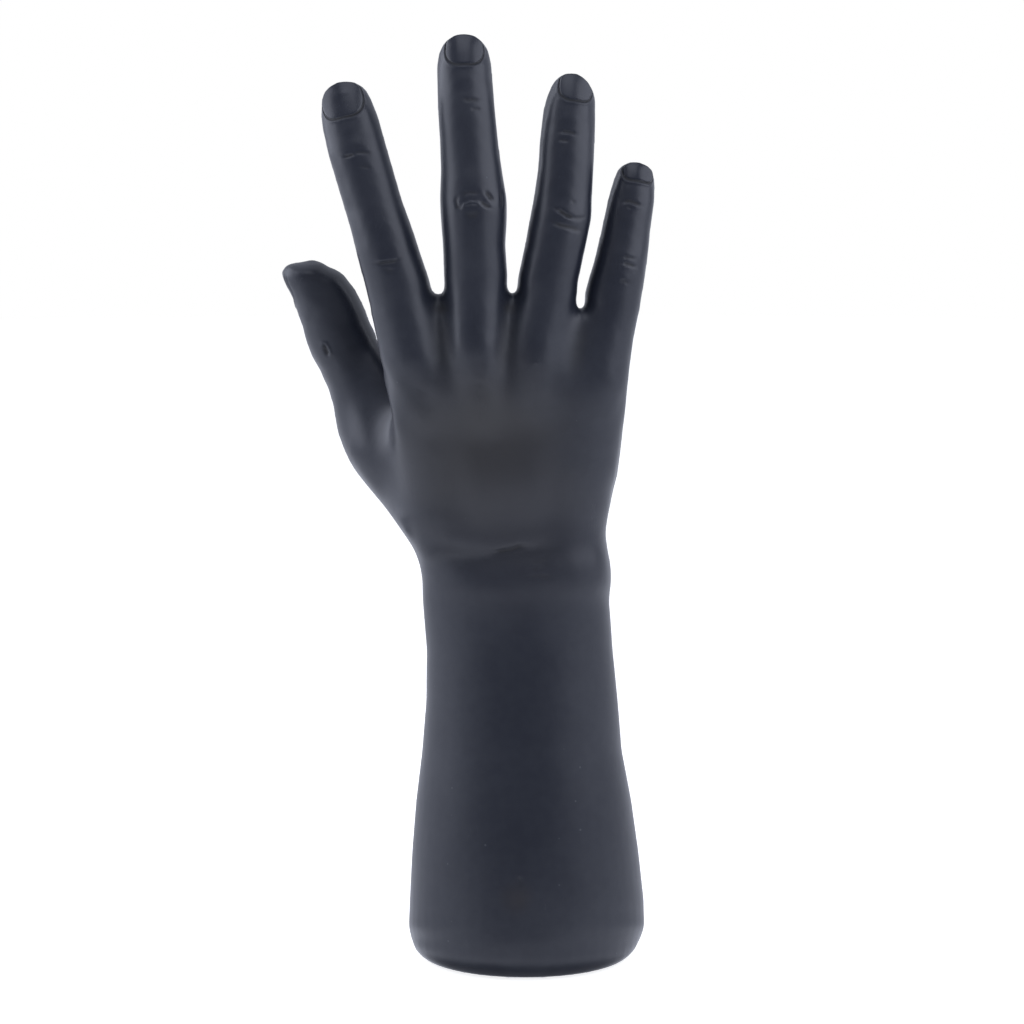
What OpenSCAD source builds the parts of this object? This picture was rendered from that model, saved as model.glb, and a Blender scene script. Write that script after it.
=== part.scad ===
// Hand mannequin: a right hand that stands on its cut forearm, fingers up and spread.
// The back of the hand faces -Y and the thumb points to -X. The foot stands on z = 0.
// The hand is one hollow moulded skin, with a push-in plug under the foot.

/* [Forearm] */
// Width of the foot, thumb side to little finger side
base_w = 88; // [80:1:96]
// Depth of the foot, back of the hand to palm
base_d = 72; // [64:1:80]
// Radius of the rounded edge round the foot
base_round = 9; // [6:0.5:11]
// Height of the wrist crease above the foot
wrist_z = 152; // [140:1:165]
// Width of the wrist
wrist_w = 69; // [63:1:75]
// Depth of the wrist
wrist_d = 46; // [42:1:50]
// How far the wrist lies to the thumb side of the middle of the foot
wrist_shift = 4; // [0:0.5:7]

/* [Palm] */
// Width across the knuckles
palm_w = 88; // [82:1:94]
// Thickness of the palm at the knuckles
palm_d = 28; // [25:1:32]
// Height of the middle knuckle above the wrist crease
palm_l = 74; // [68:1:80]
// Angle by which the hand bends back at the wrist
wrist_bend = 10; // [4:1:14]
// How far the palm lies to the thumb side of the middle of the foot
palm_shift = 7.5; // [4:0.5:10]

/* [Index finger] */
// Lengths of the three bones, knuckle to tip
index_bones = [48, 33.5, 27.5]; // [20:0.5:60]
// Width at the middle joint
index_w = 21.8; // [19:0.1:23]
// Sideways angle of each bone, plus to the little finger side
index_splay_angles = [-17.2, -16.5, -11]; // [-20:0.1:0]

/* [Middle finger] */
// Lengths of the three bones, knuckle to tip
middle_bones = [55, 35, 28.5]; // [20:0.5:60]
// Width at the middle joint
middle_w = 23.4; // [20:0.1:24]
// Sideways angle of each bone, plus to the little finger side
middle_splay_angles = [-1.8, -3.4, -2]; // [-5:0.1:5]

/* [Ring finger] */
// Lengths of the three bones, knuckle to tip
ring_bones = [49.5, 31, 29.5]; // [20:0.5:60]
// Width at the middle joint
ring_w = 21.4; // [19:0.1:23]
// Sideways angle of each bone, plus to the little finger side
ring_splay_angles = [10.8, 6, 4]; // [0:0.1:14]

/* [Little finger] */
// Lengths of the three bones, knuckle to tip
little_bones = [43, 24, 17]; // [12:0.5:50]
// Width at the middle joint
little_w = 18.4; // [16:0.1:20]
// Sideways angle of each bone, plus to the little finger side
little_splay_angles = [12.5, 10, 8]; // [4:0.1:16]

/* [Thumb] */
// How far the thumb's root lies to the thumb side of the wrist's middle
thumb_root = 22; // [18:0.5:26]
// Lengths of the three bones, wrist to tip
thumb_bones = [46, 32, 33]; // [28:0.5:50]
// Width across the nail, at the end joint
thumb_w = 23; // [20:0.5:25]
// Thickness from nail side to pad side, at the end joint
thumb_d = 25; // [20:0.5:26]
// Sideways angle of each bone, plus to the little finger side
thumb_splay_angles = [-46, -17, -20]; // [-50:1:-10]
// Angle by which each bone leans to the palm
thumb_lean_angles = [15, 6, 0]; // [-5:1:25]

/* [Skin] */
// Wall of the hollow forearm and palm
wall = 3; // [2:0.5:4]
// Thickness of the foot, where the skin is thickest
foot_t = 4; // [3.5:0.5:6]
// How far a finger nail stands out of the finger
nail_t = 0.5; // [0.3:0.1:0.8]

/* [Plug] */
// Diameter of the plug's cover disc
plug_d = 34; // [30:1:40]
// Thickness of the cover disc, let into the foot
plug_t = 2; // [1.5:0.5:2.5]
// Diameter of the plug's barrel
plug_barrel_d = 26; // [20:1:27]
// How far the barrel stands up past the foot
plug_rise = 6; // [4:1:10]
// Wall of the barrel, which is a hollow cup
plug_wall = 2; // [1.5:0.5:3]
// How far the snap rib stands out of the barrel
plug_snap = 0.8; // [0.5:0.1:1.2]
// Clearance round the plug
plug_gap = 0.15; // [0.1:0.05:0.3]

/* [Hidden] */

skin_color = "#33363f";
plug_color = "#2a2c33";

arm_sides = 48;
finger_sides = 20;
pad_sides = 16;
hollow_sides = 24;
round_sides = 64;
overrun = 1;

// Forearm stations: height up the forearm, then how much of the foot's extra width and depth is
// left, then how much of the way over to the wrist's own centre line.
forearm_shares = [
    [0.10, 1.00, 1.00, 0.00],
    [0.19, 0.90, 0.94, 0.04],
    [0.31, 0.71, 0.80, 0.18],
    [0.43, 0.46, 0.60, 0.34],
    [0.55, 0.22, 0.40, 0.44],
    [0.67, 0.05, 0.22, 0.54],
    [0.79, 0.00, 0.08, 0.80],
    [0.89, 0.01, 0.00, 1.00],
    [0.97, 0.02, 0.00, 1.10],
];

// Palm stations: height from wrist to knuckles, width and depth against the knuckles' own, how much
// of the way over to the palm's own centre line, and how far out to the palm's face.
palm_shares = [
    [0.06, 0.79, 1.50, 0.60, 0.00],
    [0.16, 0.82, 1.34, 0.90, 0.00],
    [0.30, 0.86, 1.14, 1.00, 0.00],
    [0.52, 0.92, 0.98, 0.90, 0.00],
    [0.76, 0.96, 0.90, 0.98, 0.03],
    [0.92, 0.97, 0.82, 0.96, 0.05],
    [1.04, 0.97, 0.70, 0.96, 0.10],
    [1.12, 0.96, 0.59, 0.96, 0.15],
    [1.19, 0.93, 0.45, 0.96, 0.20],
];
hollow_count = 5;

// Swells of the forearm and palm, each a lobe of the sweep: the bump of the ulna, the ball of the
// thumb, the heel of the hand, the hollow of the palm and the four full corners of the palm.
lobe_angles = [38, 228, 312, 272];
lobe_spread_angles = [34, 58, 50, 42];
wrist_lobe_shares = [
    [0.00, 0.00, 0.00, 0.00, 0.00],
    [0.03, 0.00, 0.00, 0.00, 0.00],
    [0.09, 0.00, 0.00, 0.00, 0.02],
];
palm_lobe_shares = [
    [0.02, 0.08, 0.10, -0.02, 0.03],
    [0.00, 0.24, 0.20, -0.04, 0.05],
    [0.00, 0.34, 0.26, -0.10, 0.07],
    [0.00, 0.24, 0.24, -0.18, 0.08],
    [0.00, 0.06, 0.14, -0.15, 0.08],
    [0.00, 0.00, 0.05, -0.03, 0.07],
    [0.00, 0.00, 0.00, 0.04, 0.06],
    [0.00, 0.00, 0.00, 0.05, 0.04],
    [0.00, 0.00, 0.00, 0.04, 0.02],
];

// Knuckles: place across the palm, height, and set back from the palm's middle plane.
knuckle_shares = [
    [-0.342, 0.95, -0.02],
    [-0.117, 1.00, -0.09],
    [0.106, 0.94, -0.06],
    [0.362, 0.86, 0.06],
];

// Hand bones behind the knuckles: place across the palm at the wrist end, then for two stations the
// height, the set back from the palm's middle plane and the width and depth against the knuckle's.
ray_root_shares = [-0.13, -0.02, 0.09, 0.2];
ray_shares = [
    [0.30, -0.16, 0.50, 0.52],
    [0.66, -0.14, 0.78, 0.78],
];

// Widths of each finger against its middle joint: knuckle, first bone, middle joint, second bone,
// end joint, pulp.
index_girth_shares = [1.06, 1.03, 1.00, 0.93, 0.95, 0.89];
middle_girth_shares = [1.02, 0.95, 1.00, 0.88, 0.86, 0.86];
ring_girth_shares = [1.04, 0.99, 1.00, 0.92, 0.89, 0.88];
little_girth_shares = [1.18, 1.10, 1.03, 0.95, 0.90, 0.85];

// Depth of a finger against its width at the same six places.
flat_shares = [1.05, 0.94, 0.92, 0.88, 0.84, 0.82];

// Angle by which each bone of a finger leans to the palm, knuckle to tip.
finger_lean_angles = [2, 9, 16];

// Thumb stations on its three bones: bone, place along it, width and depth against the end joint's,
// and how far the station is set over to the nail side.
thumb_shares = [
    [0, -0.12, 0.60, 0.60, 0.00],
    [0, 0.16, 1.08, 1.06, 0.00],
    [0, 0.52, 1.30, 1.22, 0.00],
    [1, 0.00, 1.08, 1.02, -0.03],
    [1, 0.50, 0.98, 0.90, -0.02],
    [2, 0.00, 1.00, 1.00, -0.02],
    [2, 0.40, 0.98, 0.99, -0.03],
    [2, 0.62, 0.93, 0.94, 0.02],
    [2, 0.82, 0.87, 0.85, 0.08],
    [2, 0.98, 0.78, 0.72, 0.18],
];
thumb_tip_share = 0.28;

// Webs of skin: how far up the first bones of the two fingers they hold on, and how far they sag.
web_shares = [
    [0.56, 0.42, 0.045],
    [0.42, 0.54, 0.03],
    [0.44, 0.58, 0.03],
];
web_r_share = 0.05;
web_root_share = 0.035;
web_edge_share = 0.025;
web_root_r_share = 0.105;

// Fold between thumb and index finger: two places on the edge of the palm, in from its full width
// and up the palm, and two along the thumb's first bone.
fold_palm_shares = [[0.16, 0.20], [0.125, 0.62]];
fold_thumb_shares = [0.45, 0.92];

// Nail plates: place of the plate's middle along the end bone, its length and width against the
// finger's width.
nail_shares = [0.58, 0.66, 0.72];
thumb_nail_share = 0.80;

tip_share = 0.42;
pulp_share = 0.55;
tip_angles = [18, 36, 52, 66, 78];
foot_angles = [90, 70, 50, 30, 12];

fingers = [
    [index_bones, index_splay_angles, index_w, index_girth_shares],
    [middle_bones, middle_splay_angles, middle_w, middle_girth_shares],
    [ring_bones, ring_splay_angles, ring_w, ring_girth_shares],
    [little_bones, little_splay_angles, little_w, little_girth_shares],
];

back = [0, -1, 0];
thumb_back = [-0.94, -0.34, 0];
palm_x = -palm_shift;

// A station is [x, y, z, half width, half depth, and the heights of its lobes].
no_lobes = [0, 0, 0, 0, 0];
function place(row) = [row[0], row[1], row[2]];
function unit(v) = v / norm(v);
function mix(a, b, t) = a + (b - a) * t;

// A smooth curve through every station.
function along(rows, t) =
    let (
        n = len(rows) - 1,
        i = min(floor(t * n), n - 1),
        u = t * n - i,
        a = rows[max(i - 1, 0)],
        b = rows[i],
        c = rows[i + 1],
        d = rows[min(i + 2, n)]
    )
    b + ((c - a) * u + (2 * a - 5 * b + 4 * c - d) * u ^ 2 + (3 * b - a - 3 * c + d) * u ^ 3) / 2;

function stations(rows, steps) = [for (i = [0:steps]) along(rows, i / steps)];

function heading(rows, i) =
    unit(place(rows[min(i + 1, len(rows) - 1)]) - place(rows[max(i - 1, 0)]));

// The rounded end past the last station.
function end_rows(row, dir, reach) = [
    for (a = tip_angles)
        concat(place(row) + dir * reach * sin(a), [for (i = [3:9]) row[i] * cos(a)])
];

// How far a station's lobes stand out at an angle round it.
function swell(row, a) =
    let (
        parts = [
            for (i = [0:3])
                row[5 + i] * cos(min(90, abs(a - lobe_angles[i]) * 90 / lobe_spread_angles[i])) ^ 2
        ]
    )
    parts[0] + parts[1] + parts[2] + parts[3] + row[9] * sin(2 * a) ^ 2;

// One ring of points round a station.
function ring(row, dir, face, sides) =
    let (
        side = unit(cross(dir, face)),
        up = cross(side, dir)
    )
    [
        for (k = [0:sides - 1])
            let (
                a = 360 * k / sides,
                out = swell(row, a)
            )
            place(row) + side * (row[3] + out) * cos(a) + up * (row[4] + out) * sin(a)
    ];

// A closed skin over rings of equal count.
module skin(rings) {
    n = len(rings[0]);
    m = len(rings);
    polyhedron(
        points = [for (r = rings, p = r) p],
        faces = concat(
            [[for (k = [n - 1:-1:0]) k]],
            [[for (k = [0:n - 1]) (m - 1) * n + k]],
            [for (i = [0:m - 2], k = [0:n - 1])
                [(i + 1) * n + k, i * n + k, (i + 1) * n + (k + 1) % n]],
            [for (i = [0:m - 2], k = [0:n - 1])
                [(i + 1) * n + (k + 1) % n, i * n + k, i * n + (k + 1) % n]]
        ),
        convexity = 6
    );
}

// A limb: a skin over rings along the stations, with a rounded end of the given reach.
module limb(rows, steps, sides, face, reach = 0, foot = []) {
    way = stations(rows, steps);
    dir = heading(way, steps);
    ends = reach > 0 ? end_rows(way[steps], dir, reach) : [];
    skin(concat(
        [for (row = foot) ring(row, [0, 0, 1], face, sides)],
        [for (i = [0:steps]) ring(way[i], heading(way, i), face, sides)],
        [for (row = ends) ring(row, dir, face, sides)]
    ));
}

// A point of the hand: across the foot, height above the wrist crease, and out of the palm's own
// middle plane toward the palm's face.
function hand_place(x, h, out = 0) = [x, out - h * tan(wrist_bend), wrist_z + h];

function foot_rows(inset, rise) = [
    for (a = foot_angles)
        concat(
            [0, 0, rise + (base_round - inset) * (1 - sin(a))],
            [for (size = [base_w, base_d]) size / 2 - inset - (base_round - inset) * (1 - cos(a))],
            no_lobes
        )
];

function forearm_rows(inset) =
    let (plain_count = len(forearm_shares) - len(wrist_lobe_shares))
    [
        for (i = [0:len(forearm_shares) - 1])
            let (s = forearm_shares[i])
            concat(
                [-wrist_shift * s[3], 0, wrist_z * s[0]],
                [
                    mix(wrist_w, base_w, s[1]) / 2 - inset,
                    mix(wrist_d, base_d, s[2]) / 2 - inset
                ],
                i < plain_count ? no_lobes : wrist_lobe_shares[i - plain_count] * palm_d
            )
    ];

function palm_rows(inset, count) = [
    for (i = [0:count - 1])
        let (s = palm_shares[i])
        concat(
            hand_place(mix(-wrist_shift, palm_x, s[3]), palm_l * s[0], palm_d * s[4]),
            [palm_w * s[1] / 2 - inset, palm_d * s[2] / 2 - inset],
            palm_lobe_shares[i] * palm_d
        )
];

function knuckle(f) =
    let (s = knuckle_shares[f])
    hand_place(palm_x + palm_w * s[0], palm_l * s[1], palm_d * s[2]);

function bone_dir(splay, lean) = [sin(splay) * cos(lean), sin(lean), cos(splay) * cos(lean)];

// A station on the hand bone behind a knuckle.
function ray_row(f, s, half) =
    concat(
        hand_place(
            palm_x + palm_w * mix(ray_root_shares[f], knuckle_shares[f][0], s[0]),
            palm_l * knuckle_shares[f][1] * s[0],
            palm_d * mix(s[1], knuckle_shares[f][2], s[0])
        ),
        [half[0] * s[2], half[1] * s[3]],
        no_lobes
    );

// Joints of a finger: knuckle, middle joint, end joint, start of the rounded tip.
function joints(f) =
    let (
        bones = fingers[f][0],
        splays = fingers[f][1],
        reach = fingers[f][2] * tip_share,
        a = knuckle(f),
        b = a + bones[0] * bone_dir(splays[0], finger_lean_angles[0]),
        c = b + bones[1] * bone_dir(splays[1], finger_lean_angles[1]),
        d = c + (bones[2] - reach) * bone_dir(splays[2], finger_lean_angles[2])
    )
    [a, b, c, d];

function finger_rows(f, grow = 0) =
    let (
        j = joints(f),
        w = fingers[f][2] / 2,
        g = fingers[f][3],
        half = [
            for (i = [0:5])
                concat([w * g[i] + grow, w * g[i] * flat_shares[i] + grow], no_lobes)
        ]
    )
    [
        ray_row(f, ray_shares[0], half[0]),
        ray_row(f, ray_shares[1], half[0]),
        concat(j[0], half[0]),
        concat(mix(j[0], j[1], 0.5), half[1]),
        concat(j[1], half[2]),
        concat(mix(j[1], j[2], 0.5), half[3]),
        concat(j[2], half[4]),
        concat(mix(j[2], j[3], pulp_share), half[5]),
        concat(j[3], half[5]),
    ];

// Joints of the thumb: root, knuckle, end joint, start of the rounded tip.
function thumb_joints() =
    let (
        a = hand_place(-wrist_shift - thumb_root, thumb_w / 2, thumb_d / 3),
        b = a + thumb_bones[0] * bone_dir(thumb_splay_angles[0], thumb_lean_angles[0]),
        c = b + thumb_bones[1] * bone_dir(thumb_splay_angles[1], thumb_lean_angles[1]),
        d = c + thumb_bones[2] * bone_dir(thumb_splay_angles[2], thumb_lean_angles[2])
    )
    [a, b, c, d];

function thumb_rows(grow = 0) =
    let (j = thumb_joints())
    [
        for (s = thumb_shares)
            concat(
                mix(j[s[0]], j[s[0] + 1], s[1]) + unit(thumb_back) * thumb_d * s[4],
                [thumb_w * s[2] / 2 + grow, thumb_d * s[3] / 2 + grow],
                no_lobes
            )
    ];

module finger(f) {
    limb(finger_rows(f), 18, finger_sides, back, fingers[f][2] * tip_share);
}

module thumb() {
    limb(thumb_rows(), 16, finger_sides, thumb_back, thumb_w * thumb_tip_share);
}

module ball(where, r) {
    translate(where)
        sphere(r = r, $fn = pad_sides);
}

// The web between finger f and the next, in two halves that meet at its low middle.
module web(f) {
    s = web_shares[f];
    a = joints(f);
    b = joints(f + 1);
    top_a = mix(a[0], a[1], s[0]);
    top_b = mix(b[0], b[1], s[1]);
    low = mix(top_a, top_b, 0.5) + palm_w * [0, web_edge_share, -s[2]];
    root = mix(a[0], b[0], 0.5) + [0, palm_w * web_root_share, 0];
    for (top = [top_a, top_b])
        hull() {
            ball(top, palm_w * web_r_share);
            ball(low, palm_w * web_r_share);
            ball(root, palm_w * web_root_r_share);
        }
}

// The skin fold between thumb and index finger.
module thumb_web() {
    t = thumb_joints();
    radii = palm_w * [web_root_r_share, web_r_share];
    hull()
        for (i = [0:1]) {
            s = fold_palm_shares[i];
            ball(hand_place(palm_x - palm_w * (0.5 - s[0]), palm_l * s[1]), radii[i]);
            ball(mix(t[0], t[1], fold_thumb_shares[i]), radii[i]);
        }
}

// Lays children, drawn flat with Y along the bone, on the face of a bone.
module on_bone(where, dir, face) {
    side = unit(cross(dir, face));
    up = cross(side, dir);
    multmatrix([for (i = [0:2]) [side[i], dir[i], up[i], where[i]]])
        children();
}

// Outline of a nail: round corners at the root and a bowed free edge.
module nail_outline(w, l) {
    hull() {
        for (x = [-1, 1])
            translate([x * w / 4, w / 4 - l / 2])
                circle(r = w / 4, $fn = pad_sides);
        translate([0, l / 2 - w / 2])
            circle(d = w, $fn = pad_sides);
    }
}

module nail(where, dir, face, w) {
    s = nail_shares;
    intersection() {
        children();
        on_bone(where, dir, face)
            linear_extrude(height = w)
                nail_outline(w * s[2], w * s[1]);
    }
}

module finger_nail(f) {
    j = joints(f);
    w = fingers[f][2];
    dir = unit(j[3] - j[2]);
    nail(j[2] + dir * fingers[f][0][2] * nail_shares[0], dir, back, w)
        limb(finger_rows(f, nail_t), 18, finger_sides, back, w * tip_share + nail_t);
}

module thumb_nail() {
    j = thumb_joints();
    dir = unit(j[3] - j[2]);
    nail(j[2] + dir * thumb_bones[2] * thumb_nail_share, dir, thumb_back, thumb_w)
        limb(thumb_rows(nail_t), 16, finger_sides, thumb_back, thumb_w * thumb_tip_share + nail_t);
}

module base_plug() {
    hole_r = plug_barrel_d / 2;
    color(plug_color)
        rotate_extrude($fn = round_sides)
            polygon([
                [0, 0],
                [plug_d / 2, 0],
                [plug_d / 2, plug_t],
                [hole_r, plug_t],
                [hole_r, foot_t + plug_gap],
                [hole_r + plug_snap, foot_t + plug_gap + plug_snap],
                [hole_r, foot_t + plug_gap + plug_snap * 3],
                [hole_r, foot_t + plug_rise],
                [hole_r - plug_wall, foot_t + plug_rise],
                [hole_r - plug_wall, plug_t],
                [0, plug_t],
            ]);
}

// The hollow of the forearm and palm.
module hollow() {
    limb(
        concat(forearm_rows(wall), palm_rows(wall, hollow_count)),
        22,
        hollow_sides,
        back,
        wall * 2,
        foot_rows(wall, foot_t)
    );
}

// The stepped hole in the foot that the plug snaps into.
module plug_hole() {
    translate([0, 0, -overrun])
        cylinder(d = plug_d + 2 * plug_gap, h = plug_t + overrun, $fn = round_sides);
    cylinder(d = plug_barrel_d + 2 * plug_gap, h = foot_t + overrun, $fn = round_sides);
}

module hand_shell() {
    color(skin_color)
        difference() {
            union() {
                limb(
                    concat(forearm_rows(0), palm_rows(0, len(palm_shares))),
                    40,
                    arm_sides,
                    back,
                    palm_d / 5,
                    foot_rows(0, 0)
                );
                for (f = [0:3]) {
                    finger(f);
                    finger_nail(f);
                }
                for (f = [0:2])
                    web(f);
                thumb();
                thumb_nail();
                thumb_web();
            }
            hollow();
            plug_hole();
        }
}

hand_shell();
base_plug();
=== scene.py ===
# %% [markdown]
# # A hand mannequin
# This is a display hand: one dark, hollow plastic skin that stands on its cut forearm, with the
# fingers up and spread. It shows gloves, rings and bracelets in a shop. The imported CAD model
# gives every size, so the first cell loads it.
# All lengths below are in metres, in the same frame as the CAD: the foot stands on z = 0, the
# back of the hand faces -Y and the thumb points to -X.

# %% Load the frame
from math import cos, pi, radians, sin, tan

import bmesh
import bpy
import numpy as np
from mathutils import Matrix, Vector


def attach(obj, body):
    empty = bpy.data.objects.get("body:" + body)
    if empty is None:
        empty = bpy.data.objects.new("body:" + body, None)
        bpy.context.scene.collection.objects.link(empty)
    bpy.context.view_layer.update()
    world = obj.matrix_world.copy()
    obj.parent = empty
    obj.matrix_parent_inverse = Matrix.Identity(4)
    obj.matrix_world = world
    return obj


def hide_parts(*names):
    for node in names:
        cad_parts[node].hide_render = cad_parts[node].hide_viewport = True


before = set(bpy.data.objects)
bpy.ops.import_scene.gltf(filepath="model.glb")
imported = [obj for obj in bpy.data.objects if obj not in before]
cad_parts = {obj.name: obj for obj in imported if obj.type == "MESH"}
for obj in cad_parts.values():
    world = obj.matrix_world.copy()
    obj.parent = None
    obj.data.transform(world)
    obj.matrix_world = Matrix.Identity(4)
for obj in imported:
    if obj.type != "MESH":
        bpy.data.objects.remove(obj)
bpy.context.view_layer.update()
scene = bpy.context.scene
MM = 0.001
print("nodes:", sorted(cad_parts))

# %% [markdown]
# ## Camera
# The photograph looks at the back of the hand from a little above the finger tips. A long lens a
# metre away flattens the hand as a product photograph does. Its place was found by fitting the
# outline of the foot's rim and the finger tips.

# %% Camera
PHOTO_SIDE = 1024  # pixels
CAMERA_TILT = radians(8.33)
camera_data = bpy.data.cameras.new("photo_camera")
camera_data.lens = 106
camera_data.sensor_width = 36
camera_data.clip_start = 0.05
camera = bpy.data.objects.new("photo_camera", camera_data)
camera.location = (-0.0055, -1.10, 0.33)
camera.rotation_euler = (pi / 2 - CAMERA_TILT, 0, 0)
scene.collection.objects.link(camera)
scene.camera = camera
print("camera lens", camera_data.lens, "mm at", tuple(camera.location))

# %% [markdown]
# ## Studio
# Satin plastic is seen by what it mirrors, so the studio is built for that. The real one is a
# white table with white around it and a dark room behind the camera. Two large soft boxes stand
# beside the hand: one on its right, a little to the front, and one on its left, a little behind.
# A small one hangs above the camera. The fingers mirror the side boxes as pale bands along their
# flanks, and the upright forearm mirrors the room and the table.
# In the world, camera rays see plain white. Gloss rays see the table below the horizon, which is
# brightest a step away from the hand and dark right under it, and the dimmer room above. Both
# are darkest in front, where the camera stands. All other rays see a soft grey.

# %% Helpers for nodes
def feed(tree, socket, value):
    """Links a socket to another one, or sets it to a plain value."""
    if isinstance(value, bpy.types.NodeSocket):
        tree.links.new(value, socket)
    else:
        socket.default_value = value


def node_at(tree, kind, x, y, values=None, **settings):
    """Adds a node at a place in the editor, sets what it does and feeds its named inputs."""
    node = tree.nodes.new(kind)
    node.location = (x, y)
    for name, value in settings.items():
        setattr(node, name, value)
    for name, value in (values or {}).items():
        feed(tree, node.inputs[name], value)
    return node


def first_out(tree, kind, x, y, *values, **settings):
    """Adds a node, feeds its inputs in their order and gives its first output."""
    node = node_at(tree, kind, x, y, **settings)
    for socket, value in zip(node.inputs, values):
        feed(tree, socket, value)
    return node.outputs[0]


def grade(tree, source, y, low, high, dark, light):
    """A smooth step from dark to light as the source goes from low to high."""
    return first_out(tree, "ShaderNodeMapRange", -300, y, source, low, high, dark, light,
                     interpolation_type="SMOOTHSTEP")


def math_at(tree, operation, x, y, *values):
    """A sum, product or the like of sockets and numbers."""
    return first_out(tree, "ShaderNodeMath", x, y, *values, operation=operation)


print("helpers:", [tool.__name__ for tool in (feed, node_at, first_out, grade, math_at)])

# %% World levels
TABLE_FRONT, TABLE_SIDES, TABLE_NEAR, UNDER_HAND = 0.22, 1.05, 1.80, 0.16
ROOM_FRONT, ROOM_BACK = 0.28, 0.70
FILL_ABOVE, FILL_BELOW = 0.42, 0.15
# between which directions each level turns into the next: from -1 in front to 1 behind, and from
# -1 straight down to 1 straight up
TABLE_TURN, ROOM_TURN = (-1.0, -0.5), (-0.9, 0.2)
UNDER_EDGE, NEAR_EDGE = (-0.76, -0.42), (-0.44, -0.11)
HORIZON, FILL_SPAN = (-0.05, 0.12), (-0.6, 0.9)
COOL = (0.90, 0.94, 1.08, 1)
WHITE = (1, 1, 1, 1)
print("table seen in gloss from", TABLE_FRONT, "in front to", TABLE_SIDES, "at the sides")


# %% World
def build_world():
    world = bpy.data.worlds.new("white_tent")
    world.use_nodes = True
    tree = world.node_tree
    tree.nodes.clear()
    out = node_at(tree, "ShaderNodeOutputWorld", 900, 0)
    ray = node_at(tree, "ShaderNodeLightPath", -300, 500).outputs
    place = node_at(tree, "ShaderNodeTexCoord", -700, -100).outputs["Generated"]
    way = node_at(tree, "ShaderNodeSeparateXYZ", -500, -100, {"Vector": place}).outputs
    table = grade(tree, way["Y"], -200, *TABLE_TURN, TABLE_FRONT, TABLE_SIDES)
    under = grade(tree, way["Z"], -450, *UNDER_EDGE, UNDER_HAND, 1)
    room = grade(tree, way["Y"], -700, *ROOM_TURN, ROOM_FRONT, ROOM_BACK)
    above = grade(tree, way["Z"], -950, *HORIZON, 0, 1)
    near = grade(tree, way["Z"], -1200, *NEAR_EDGE, TABLE_NEAR, 0)
    table = math_at(tree, "MAXIMUM", -150, -300, table, near)
    table = math_at(tree, "MULTIPLY", -100, -300, table, under)
    step = math_at(tree, "SUBTRACT", -100, -600, room, table)
    step = math_at(tree, "MULTIPLY", 50, -600, step, above)
    tent = math_at(tree, "ADD", 200, -500, step, table)
    fill = grade(tree, way["Z"], 100, *FILL_SPAN, FILL_BELOW, FILL_ABOVE)
    light = [
        first_out(tree, "ShaderNodeBackground", 100, 200 - 200 * i, color, strength)
        for i, (color, strength) in enumerate(((COOL, fill), (COOL, tent), (WHITE, 1)))
    ]
    straight = math_at(tree, "MAXIMUM", 100, 450, ray["Is Camera Ray"], ray["Is Transmission Ray"])
    unseen = first_out(tree, "ShaderNodeMixShader", 400, 100, ray["Is Glossy Ray"], *light[:2])
    seen = first_out(tree, "ShaderNodeMixShader", 650, 0, straight, unseen, light[2])
    feed(tree, out.inputs["Surface"], seen)
    return world


scene.world = build_world()
scene.view_settings.view_transform = "Standard"
print("world:", scene.world.name)

# %% [markdown]
# A soft box's width shows as the width of the pale band that it makes on a finger.


# %% Soft boxes
AIM = (0, 0, 0.26)
# azimuth and height in degrees, distance, width and height in metres, power in watts
SOFT_BOXES = {
    "left_box": (-95, 22, 1.0, 1.15, 1.00, 7.8),
    "right_box": (62, 28, 1.0, 1.05, 0.95, 5.6),
    "top_box": (-10, 56, 1.1, 0.60, 0.45, 1.2),
}


def around(azimuth, height, distance):
    """A place round the fingers: azimuth 0 is in front and 90 on the right, in degrees."""
    a, h = radians(azimuth), radians(height)
    return (distance * cos(h) * sin(a), -distance * cos(h) * cos(a), AIM[2] + distance * sin(h))


def soft_box(name, place, width, height, power):
    data = bpy.data.lights.new(name, "AREA")
    data.shape = "RECTANGLE"
    data.size, data.size_y = width, height
    data.energy = power
    data.color = COOL[:3]
    lamp = bpy.data.objects.new(name, data)
    lamp.location = place
    direction = Vector(AIM) - Vector(place)
    lamp.rotation_euler = direction.to_track_quat("-Z", "Y").to_euler()
    scene.collection.objects.link(lamp)
    return lamp


lamps = [soft_box(name, around(*box[:3]), *box[3:]) for name, box in SOFT_BOXES.items()]
print("soft boxes:", [lamp.name for lamp in lamps])

# %% [markdown]
# The floor is plain pale paper. Its glow is for the camera alone: it lifts the paper to the
# white of the background and leaves the hand's soft shadow in it.


# %% Floor
FLOOR_RADIUS = 3
FLOOR_GLOW = 0.82
PAPER = (0.75, 0.75, 0.75, 1)


def build_floor():
    mesh = bpy.data.meshes.new("floor")
    bm = bmesh.new()
    bmesh.ops.create_circle(bm, cap_ends=True, segments=96, radius=FLOOR_RADIUS)
    bm.to_mesh(mesh)
    bm.free()
    floor = bpy.data.objects.new("floor", mesh)
    scene.collection.objects.link(floor)
    paint = bpy.data.materials.new("white_sweep")
    paint.use_nodes = True
    tree = paint.node_tree
    tree.nodes.clear()
    out = node_at(tree, "ShaderNodeOutputMaterial", 600, 0)
    ray = node_at(tree, "ShaderNodeLightPath", -400, 0).outputs
    level = math_at(tree, "MULTIPLY", -200, -200, ray["Is Camera Ray"], FLOOR_GLOW)
    paper = first_out(tree, "ShaderNodeBsdfDiffuse", 0, 100, PAPER)
    glow = first_out(tree, "ShaderNodeEmission", 0, -100, WHITE, level)
    both = first_out(tree, "ShaderNodeAddShader", 300, 0, paper, glow)
    feed(tree, out.inputs["Surface"], both)
    mesh.materials.append(paint)
    return floor


floor = build_floor()
floor.visible_glossy = False
print("floor:", floor.name)

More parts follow.
